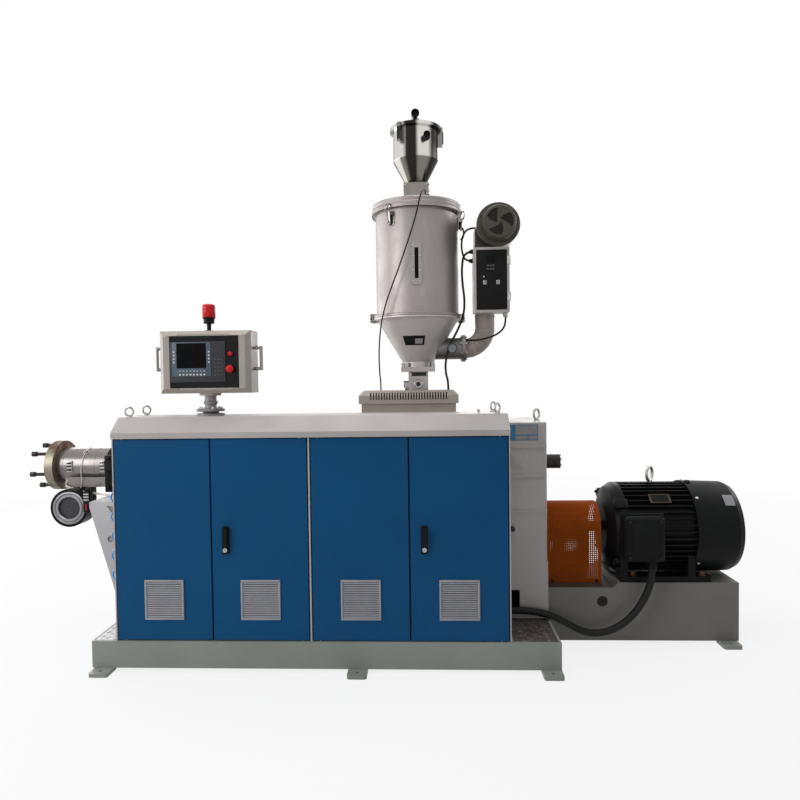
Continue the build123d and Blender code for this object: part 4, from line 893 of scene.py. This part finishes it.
for a in (-172, 8, 98):
    place = about_hopper(a)
    block((264.5, -18, 1838), (274.5, 18, 1892), 2, place=place)
    for z in (1838, 1880.5):
        block((247, -18, z), (270, 18, z + 11.5), 2, place=place)
    at = place @ Vector((279.5, 0, 1842))
    turned([(0, 52), (4, 52), (5, 50), (5, 0), (0, 0)], at, UP, 14)
    for z0, z1 in ((34, 41), (4, 12)):
        turned([(5, z1), (8.5, z1), (8.5, z0), (5, z0)], at, UP, 6)
    block((272, -6, 1860), (286, 6, 1868), mat=1, place=place)
latches = piece("hopper_latches", [polished, black_moulding_and_shade])
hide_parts("hopper_clamps")
hook = ((1812, 2404), (1834, 2402), (1846, 2386), (1848, 2360), (1842, 2338), (1828, 2330))
tube([(x, axis_y, z) for x, z in hook], 5)
block((1812, 588, 2392), (1818, 612, 2416))
piece("hopper_hook", black_steel_and_shade)


# Hot air comes through a duct lagged with glass cloth, wound up the riser and gathered round the elbow.
# Bands of the same cloth tie it off, and bolts hold its flange to the inlet.
def woven(name, colour, rough, scale):
    """Coarse glass cloth, with its threads and soiled folds."""
    finish, shade, place = new_finish(name)
    soil = level(clouds(place, 9, 6), 0.35, 0.75)
    feed(shade, "Base Color", tint(soil, colour, [c * 0.62 for c in colour]))
    feed(shade, "Roughness", rough)
    thread = node(place.id_data, "TexWave", {"Vector": place, "Scale": scale, "Distortion": 1.5},
                  bands_direction="Z")
    raise_by(shade, thread.outputs["Fac"], 0.0008, 0.5)
    return finish


lagging = woven("lagging_cloth", srgb(178, 167, 160), 0.85, 125.004)
dress(lagging, "air_duct")
part = bmesh.new()
rings = []
duct_z = 1684
elbow, folds, sides = 118, 56, 44
for i in range(folds + 1):
    turn = math.pi / 2 * i / folds
    centre = Vector((1850 + elbow * math.sin(turn), axis_y, duct_z + elbow * (1 - math.cos(turn))))
    outside = Vector((math.sin(turn), 0, -math.cos(turn)))
    ring = []
    for x, y in circle(sides, 1):
        fold = abs(math.sin(math.pi * i / 7 + 0.35 * math.sin(3 * math.atan2(y, x))))
        radius = 57.8 - (1.5 + 4.5 * (0.5 - 0.5 * x)) * (1 - fold) ** 2
        ring.append(part.verts.new(centre + radius * (x * outside + y * Vector(BACK))))
    rings.append(ring)
riser, turns = 450, 80
for i in range(1, turns + 1):
    up = riser * i / turns
    wound = circle(sides, 56.2 + 1.4 * (up / 56.3 % 1))
    rings.append([part.verts.new((1968 + x, axis_y + y, 1802 + up)) for x, y in wound])
skin(part, rings)
shaped(part)
duct = piece("duct_lagging", lagging, soft=60)
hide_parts("air_duct")
for at, way in (((1852, axis_y, duct_z), RIGHT), ((1968, axis_y, 1866), UP)):
    turned([(57.2, 0), (59.2, 0.4), (59.2, 11.6), (57.2, 12)], at, way, 48)
piece("duct_bands", lagging)
for name, x, way, tall in (("flange_bolts", 1830, LEFT, 7), ("flange_nuts", 1850, RIGHT, 8)):
    holes = [(x, axis_y + y, duct_z + z) for y, z in circle(8, 71, 22.5)]
    screw_heads(name, holes, way, 11.5, tall, zinc)


# A dial thermometer screws into the inlet.
# Its bezel is blackened and its grey face has ticks and a pointer, no figures.
dial = Vector((1768, 466, 1679))
bezel = [(24.5, 13.5), (26, 15.5), (28.5, 14.5), (29.5, 11), (29.5, 1), (27, -2), (8, -3), (8, -16),
         (10.5, -16.5), (10.5, -26), (6, -27), (6, -74)]
turned(bezel, dial, FRONT, 40)
turned([(0, 11.5), (24.8, 11.5), (24.8, 10)], dial, FRONT, 40, mat=1)
for k in range(19):
    turn = Matrix.Rotation(math.radians(-135 + 15 * k), 4, "Y")
    start = 17 if k % 3 == 0 else 19
    tick = Matrix.Translation(dial + Vector((0, -11.8, 0))) @ turn
    block((-0.4, -0.3, start), (0.4, 0.3, 22), 0.1, 1, mat=2, place=tick)
turn = Matrix.Translation(dial + Vector((0, -12.4, 0))) @ Matrix.Rotation(math.radians(-52), 4, "Y")
block((-0.7, -0.4, -5), (0.7, 0.4, 19), 0.2, 1, mat=2, place=turn)
dial_grey = moulded("dial_grey", srgb(132, 138, 142), 0.4)
piece("thermometer", [black_steel_and_shade, dial_grey, black_moulding_and_shade])


# The dryer's control box is light sheet with a black face, a small keypad and two rocker switches.
# The blower above it is grey-brown cast metal with woven wire behind its cover.
taupe_enamel = enamel("taupe_enamel", srgb(66, 60, 53), 0.4, chips=0.02, fade=0.15)
dress(taupe_enamel, "dryer_blower")
dress(light_enamel, "dryer_box")
block((1908, 438, 1894), (2082, 441, 2234), 1.2)
block((1960, 435.5, 2110), (2019, 439, 2207), 2)
block((1967, 434.9, 2160), (2012, 436, 2199), 0.5, 1, mat=1)
for x in (1968, 1983.5, 1999):
    for z in (2120, 2139):
        block((x, 434.6, z), (x + 12, 436, z + 10), 0.6, 1, mat=2)
key_grey = moulded("key_grey", srgb(84, 82, 84), 0.45)
piece("dryer_face", [black_moulding_and_shade, glass, key_grey])
white_moulding = moulded("white_moulding", srgb(206, 204, 200), 0.4)
for x in (1956, 2031):
    block((x - 10, 435, 2038), (x + 10, 439, 2060), 1.8)
    rocker = Matrix.Translation((x, 434.6, 2049)) @ Matrix.Rotation(math.radians(9), 4, "X")
    block((-7, -2.8, -7.5), (7, 2.8, 7.5), 1.2, mat=1, place=rocker)
turned([(0, 6), (2, 5.7), (4, 4), (5, 0), (5, -1)], (1951, 438, 2082), FRONT, 20)
piece("dryer_switches", [white_moulding, grille_moulding])
knuckle = [(0, 0), (6, 0), (6.5, 0.8), (6.5, 15.2), (6, 16), (0, 16)]
for z in (1945, 2150):
    for k in range(3):
        turned(knuckle, (2098.5, 446, z + 16.6 * k), UP, 16)
    block((2084, 438.4, z + 2), (2097, 440.4, z + 47), 0.6, 1)
turned([(0, 0), (15.5, 0), (16.5, 1), (16.5, 9), (15.5, 10), (0, 10)], (2078, 490, 1867), UP, 6)
gland = [(0, 20), (8.5, 20), (11, 17), (11, 9), (13.5, 8), (13.5, -1), (0, -1)]
for at in ((1893, 490, 2234), (1893, 525, 2188)):
    turned(gland, at, LEFT, 20, mat=1)
piece("dryer_fittings", [zinc, black_moulding_and_shade])
blower = Vector((2036, 372, 2378))
wire_disc(blower, 78, 0.6, 5.5)
piece("blower_mesh", black_steel_and_shade)
turned([(0, 2), (8, 2), (10.5, 0.8), (10.5, -1)], blower, FRONT, 20)
outer_screw = [(0, 4), (3, 4), (5, 2), (5, -1)]
inner_screw = [(0, 2.5), (2.5, 2.5), (4, 1), (4, -1)]
for radius, back, screw in ((112, 68, outer_screw), (82, 0, inner_screw)):
    for x, z in circle(8, radius, 22.5):
        turned(screw, blower + Vector((x, back, z)), FRONT, 12)
piece("blower_screws", taupe_enamel)


# Thin cables run from the loader, the dryer and the blower down to the feed cover.
# They are black rubber leads that hang in loose curves between glands.
lead_rubber = rubber("lead_rubber", srgb(20, 20, 21), 0.45)
loader_route = [(1625, 527, 2592), (1625, 470, 2592), (1612, 405, 2566), (1596, 326, 2528), (1574, 308, 2420),
                (1540, 312, 2310), (1502, 322, 2205), (1462, 334, 2100), (1424, 352, 2010), (1392, 372, 1925),
                (1366, 394, 1830), (1352, 412, 1725), (1347, 430, 1620), (1349, 455, 1530), (1353, 470, 1490),
                (1353, 470, 1440)]
cable("loader_cable_line", loader_route, 0.008, lead_rubber)
dryer_route = [(1893, 490, 2234), (1842, 490, 2234), (1828, 490, 2140), (1832, 490, 2050), (1844, 490, 1960),
               (1838, 488, 1870), (1800, 485, 1780), (1752, 485, 1695), (1728, 485, 1602), (1731, 485, 1530),
               (1744, 485, 1490), (1744, 485, 1440)]
cable("dryer_cable_line", dryer_route, 0.013, lead_rubber)
sensor_route = [(2078, 490, 1856), (2078, 490, 1815), (2055, 492, 1775), (2010, 495, 1748), (1955, 505, 1733),
                (1905, 525, 1727), (1880, 546, 1730), (1850, 546, 1730)]
cable("sensor_lead_line", sensor_route, 0.011, lead_rubber)
blower_route = [(1912, 525, 2378), (1868, 525, 2378), (1836, 525, 2334), (1830, 525, 2280), (1834, 525, 2236),
                (1852, 525, 2188), (1893, 525, 2188)]
cable("blower_lead_line", blower_route, 0.011, lead_rubber)


# The loader is polished sheet with a clipped lid. Its suction tube ends in a black rubber cuff.
# The mirror polish has long dark and bright reflections painted down the sheet as streaks, with darker
# painted tones low down.
mirror = bright_sheet("mirror_stainless_painted_reflections", srgb(220, 216, 212), 0.1, marks=0.2, depth=0.00004, metal=1)
tree = mirror.node_tree
shade = tree.nodes["Principled BSDF"]
place = node(tree, "TexCoord").outputs["Object"]
loader_axis = spot(hopper_x, axis_y, 0)
flat = node(tree, "Mapping", {"Vector": place, "Location": -loader_axis, "Scale": (1, 1, 0)})
around = node(tree, "VectorMath", {0: flat.outputs["Vector"]}, operation="NORMALIZE")
wave = {"Vector": around.outputs[0], "Scale": 0.2856, "Phase Offset": 0.857, "Distortion": 1.1, "Detail": 3,
        "Detail Scale": 1.6}
reflection_streaks = node(tree, "TexWave", wave).outputs["Fac"]
height = node(tree, "SeparateXYZ", {0: place}).outputs["Z"]
# Painted reflections: dark streaks round the loader, a darker tone below 2784 mm and a flat grey on the low
# box below 2655 mm.
tone = shade.inputs["Base Color"].links[0].from_socket
tone = tint(level(height, 2.784, 2.79), srgb(124, 121, 114), tone)
tone = tint(level(reflection_streaks, 0.3, 0.75), srgb(44, 41, 38), tone)
tone = tint(level(height, 2.655, 2.66), srgb(132, 127, 124), tone)
feed(shade, "Base Color", tone)
dress(mirror, "loader_body", "loader_lid")
cuff = [(0, 1), (18, 1), (20.5, 18), (22.5, 18), (23.8, 16.5), (23.8, 0.3), (0, 0.3)]
turned(cuff, (hopper_x, 548, 3054), FRONT, 36)
sleeve = [(0, 1), (14, 1), (16.5, 12), (18.5, 12), (19.5, 10.5), (19.5, -34), (18, -35)]
turned(sleeve, (1636, 446, 2893), FRONT, 32)
for a in (-127, -7, 113):
    block((160.8, -9, 2885), (164.8, 9, 2955), 1.8, place=about_hopper(a))
piece("loader_rubber", black_moulding_and_shade)
corners = [(u, z) for u in (-62, 62) for z in (2583, 2640)]
screw_heads("loader_screws", [(hopper_x + u, 527, z) for u, z in corners], FRONT, 9, 4, zinc, sides=14)
screw_heads("loader_side_screws", [(1643, axis_y + u, z) for u, z in corners], RIGHT, 9, 4, zinc, sides=14)


# The control panel is a welded box on a cast post, with a black face set in its frame.
# The post has a bolted round foot, a clamp collar and a flanged head that the box turns on.
cast_alloy = worn_steel("cast_alloy", srgb(108, 105, 106), srgb(134, 131, 132), 0.45, 60)
dress(cast_alloy, "panel_post")
post = Vector((446, 190, 1332))
foot = [(40, 11.5), (73.5, 11.5), (74.2, 13), (74.2, 23.5), (72, 26), (40, 27.5)]
turned(foot, post, UP, 40)
turned([(32, 50), (36, 50.5), (38, 53), (38, 64), (36, 66.5), (32, 67)], post, UP, 40)
piece("post_foot", cast_alloy)
screw_heads("post_bolts", [post + Vector((x, y, 26.5)) for x, y in circle(6, 59)], UP, 14, 8, zinc)


# The operator unit stands on the black face: a dark case, a blue-grey surround with keys and a black screen.
# Beside it are a red lamp and a red mushroom stop button on a black collar.
dress(moulded("black_glass", srgb(14, 14, 15), 0.16, 0.00002), "panel_face")
block((260, 101, 1500), (560, 109, 1716), 4, 3)
case = piece("operator_case", moulded("case_grey", srgb(58, 57, 60), 0.4), "control_panel")
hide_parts("panel_controls")
block((275, 98.6, 1532), (482, 101.5, 1712), 1.2)
piece("operator_surround", moulded("surround_blue", srgb(84, 98, 114), 0.38), "control_panel")
block((299, 98, 1575), (458, 99.2, 1707), 0.5, 1)
piece("operator_screen", glass, "control_panel")
for x in (281, 468):
    for k in range(4):
        z = 1602 + 18.2 * k
        block((x, 96.8, z), (x + 9, 99, z + 9), 1.2)
for z, mat in ((1537, 0), (1556, 1)):
    for k in range(8):
        x = 312 + 18.6 * k
        block((x, 96.8, z), (x + 10.5, 99, z + 8.5), 1.2, mat=mat)
for x in (500, 517, 534):
    for k in range(5):
        z = 1536 + 20 * k
        block((x, 99.8, z), (x + 9, 101.5, z + 8), 1.2, mat=2)
piece("operator_keys", [white_moulding, grille_moulding, key_grey], "control_panel")
lamp = (586, 109, 1649)
stop = (586, 109, 1569)
turned([(0, 14), (6, 13.6), (11, 11.5), (13, 8), (13, 3)], lamp, FRONT, 28)
mushroom = [(0, 32), (10, 31.4), (17, 29), (20.5, 24.5), (21, 20.5), (19, 16.5), (12, 15), (12, 3)]
turned(mushroom, stop, FRONT, 36)
turned([(12, 6), (14, 6.2), (16.5, 4), (17, -0.5)], lamp, FRONT, 28, mat=1)
turned([(11.5, 8), (16, 8), (19, 5), (19.5, -0.5)], stop, FRONT, 28, mat=1)
piece("panel_buttons", [red_moulding, black_moulding_and_shade], "control_panel")
corners = [(x, 100, z) for x in (241, 651) for z in (1470, 1746)]
screw_heads("panel_box_screws", corners, FRONT, 8, 3, zinc, "control_panel", sides=14)


# The beacon has a fluted red lens on a black moulded base.
# It stands on a short neck with a flange, screwed to the panel's top.
beacon = Vector((446, 190, 1774))
stem = [(0, 77), (30, 77), (34, 75), (34, 69), (29, 66), (28.5, 46), (26, 43), (12, 42), (11, 8), (22, 6),
        (24, 4), (24, 0)]
turned(stem, beacon, UP, 40)
beacon_base = piece("beacon_base", black_moulding_and_shade, "control_panel")
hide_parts("beacon")
part = bmesh.new()
flutes = 30
rings = []
for radius, z in ((34.5, 77), (35.5, 79), (35.5, 131), (34.5, 138), (30, 144.5), (20, 148), (8, 149.5)):
    deep = 1.1 if radius > 30 else 0
    ring = []
    for k, (x, y) in enumerate(circle(2 * flutes, 1)):
        out = radius - deep * (k % 2)
        ring.append(part.verts.new(beacon + Vector((out * x, out * y, z))))
    rings.append(ring)
skin(part, rings)
part.faces.new(rings[-1])
part.faces.new(rings[0][::-1])
shaped(part)
lens_red = moulded("lens_red", srgb(206, 20, 28), 0.16, 0.00002, 0.2)
piece("beacon_lens", lens_red, "control_panel", soft=50)
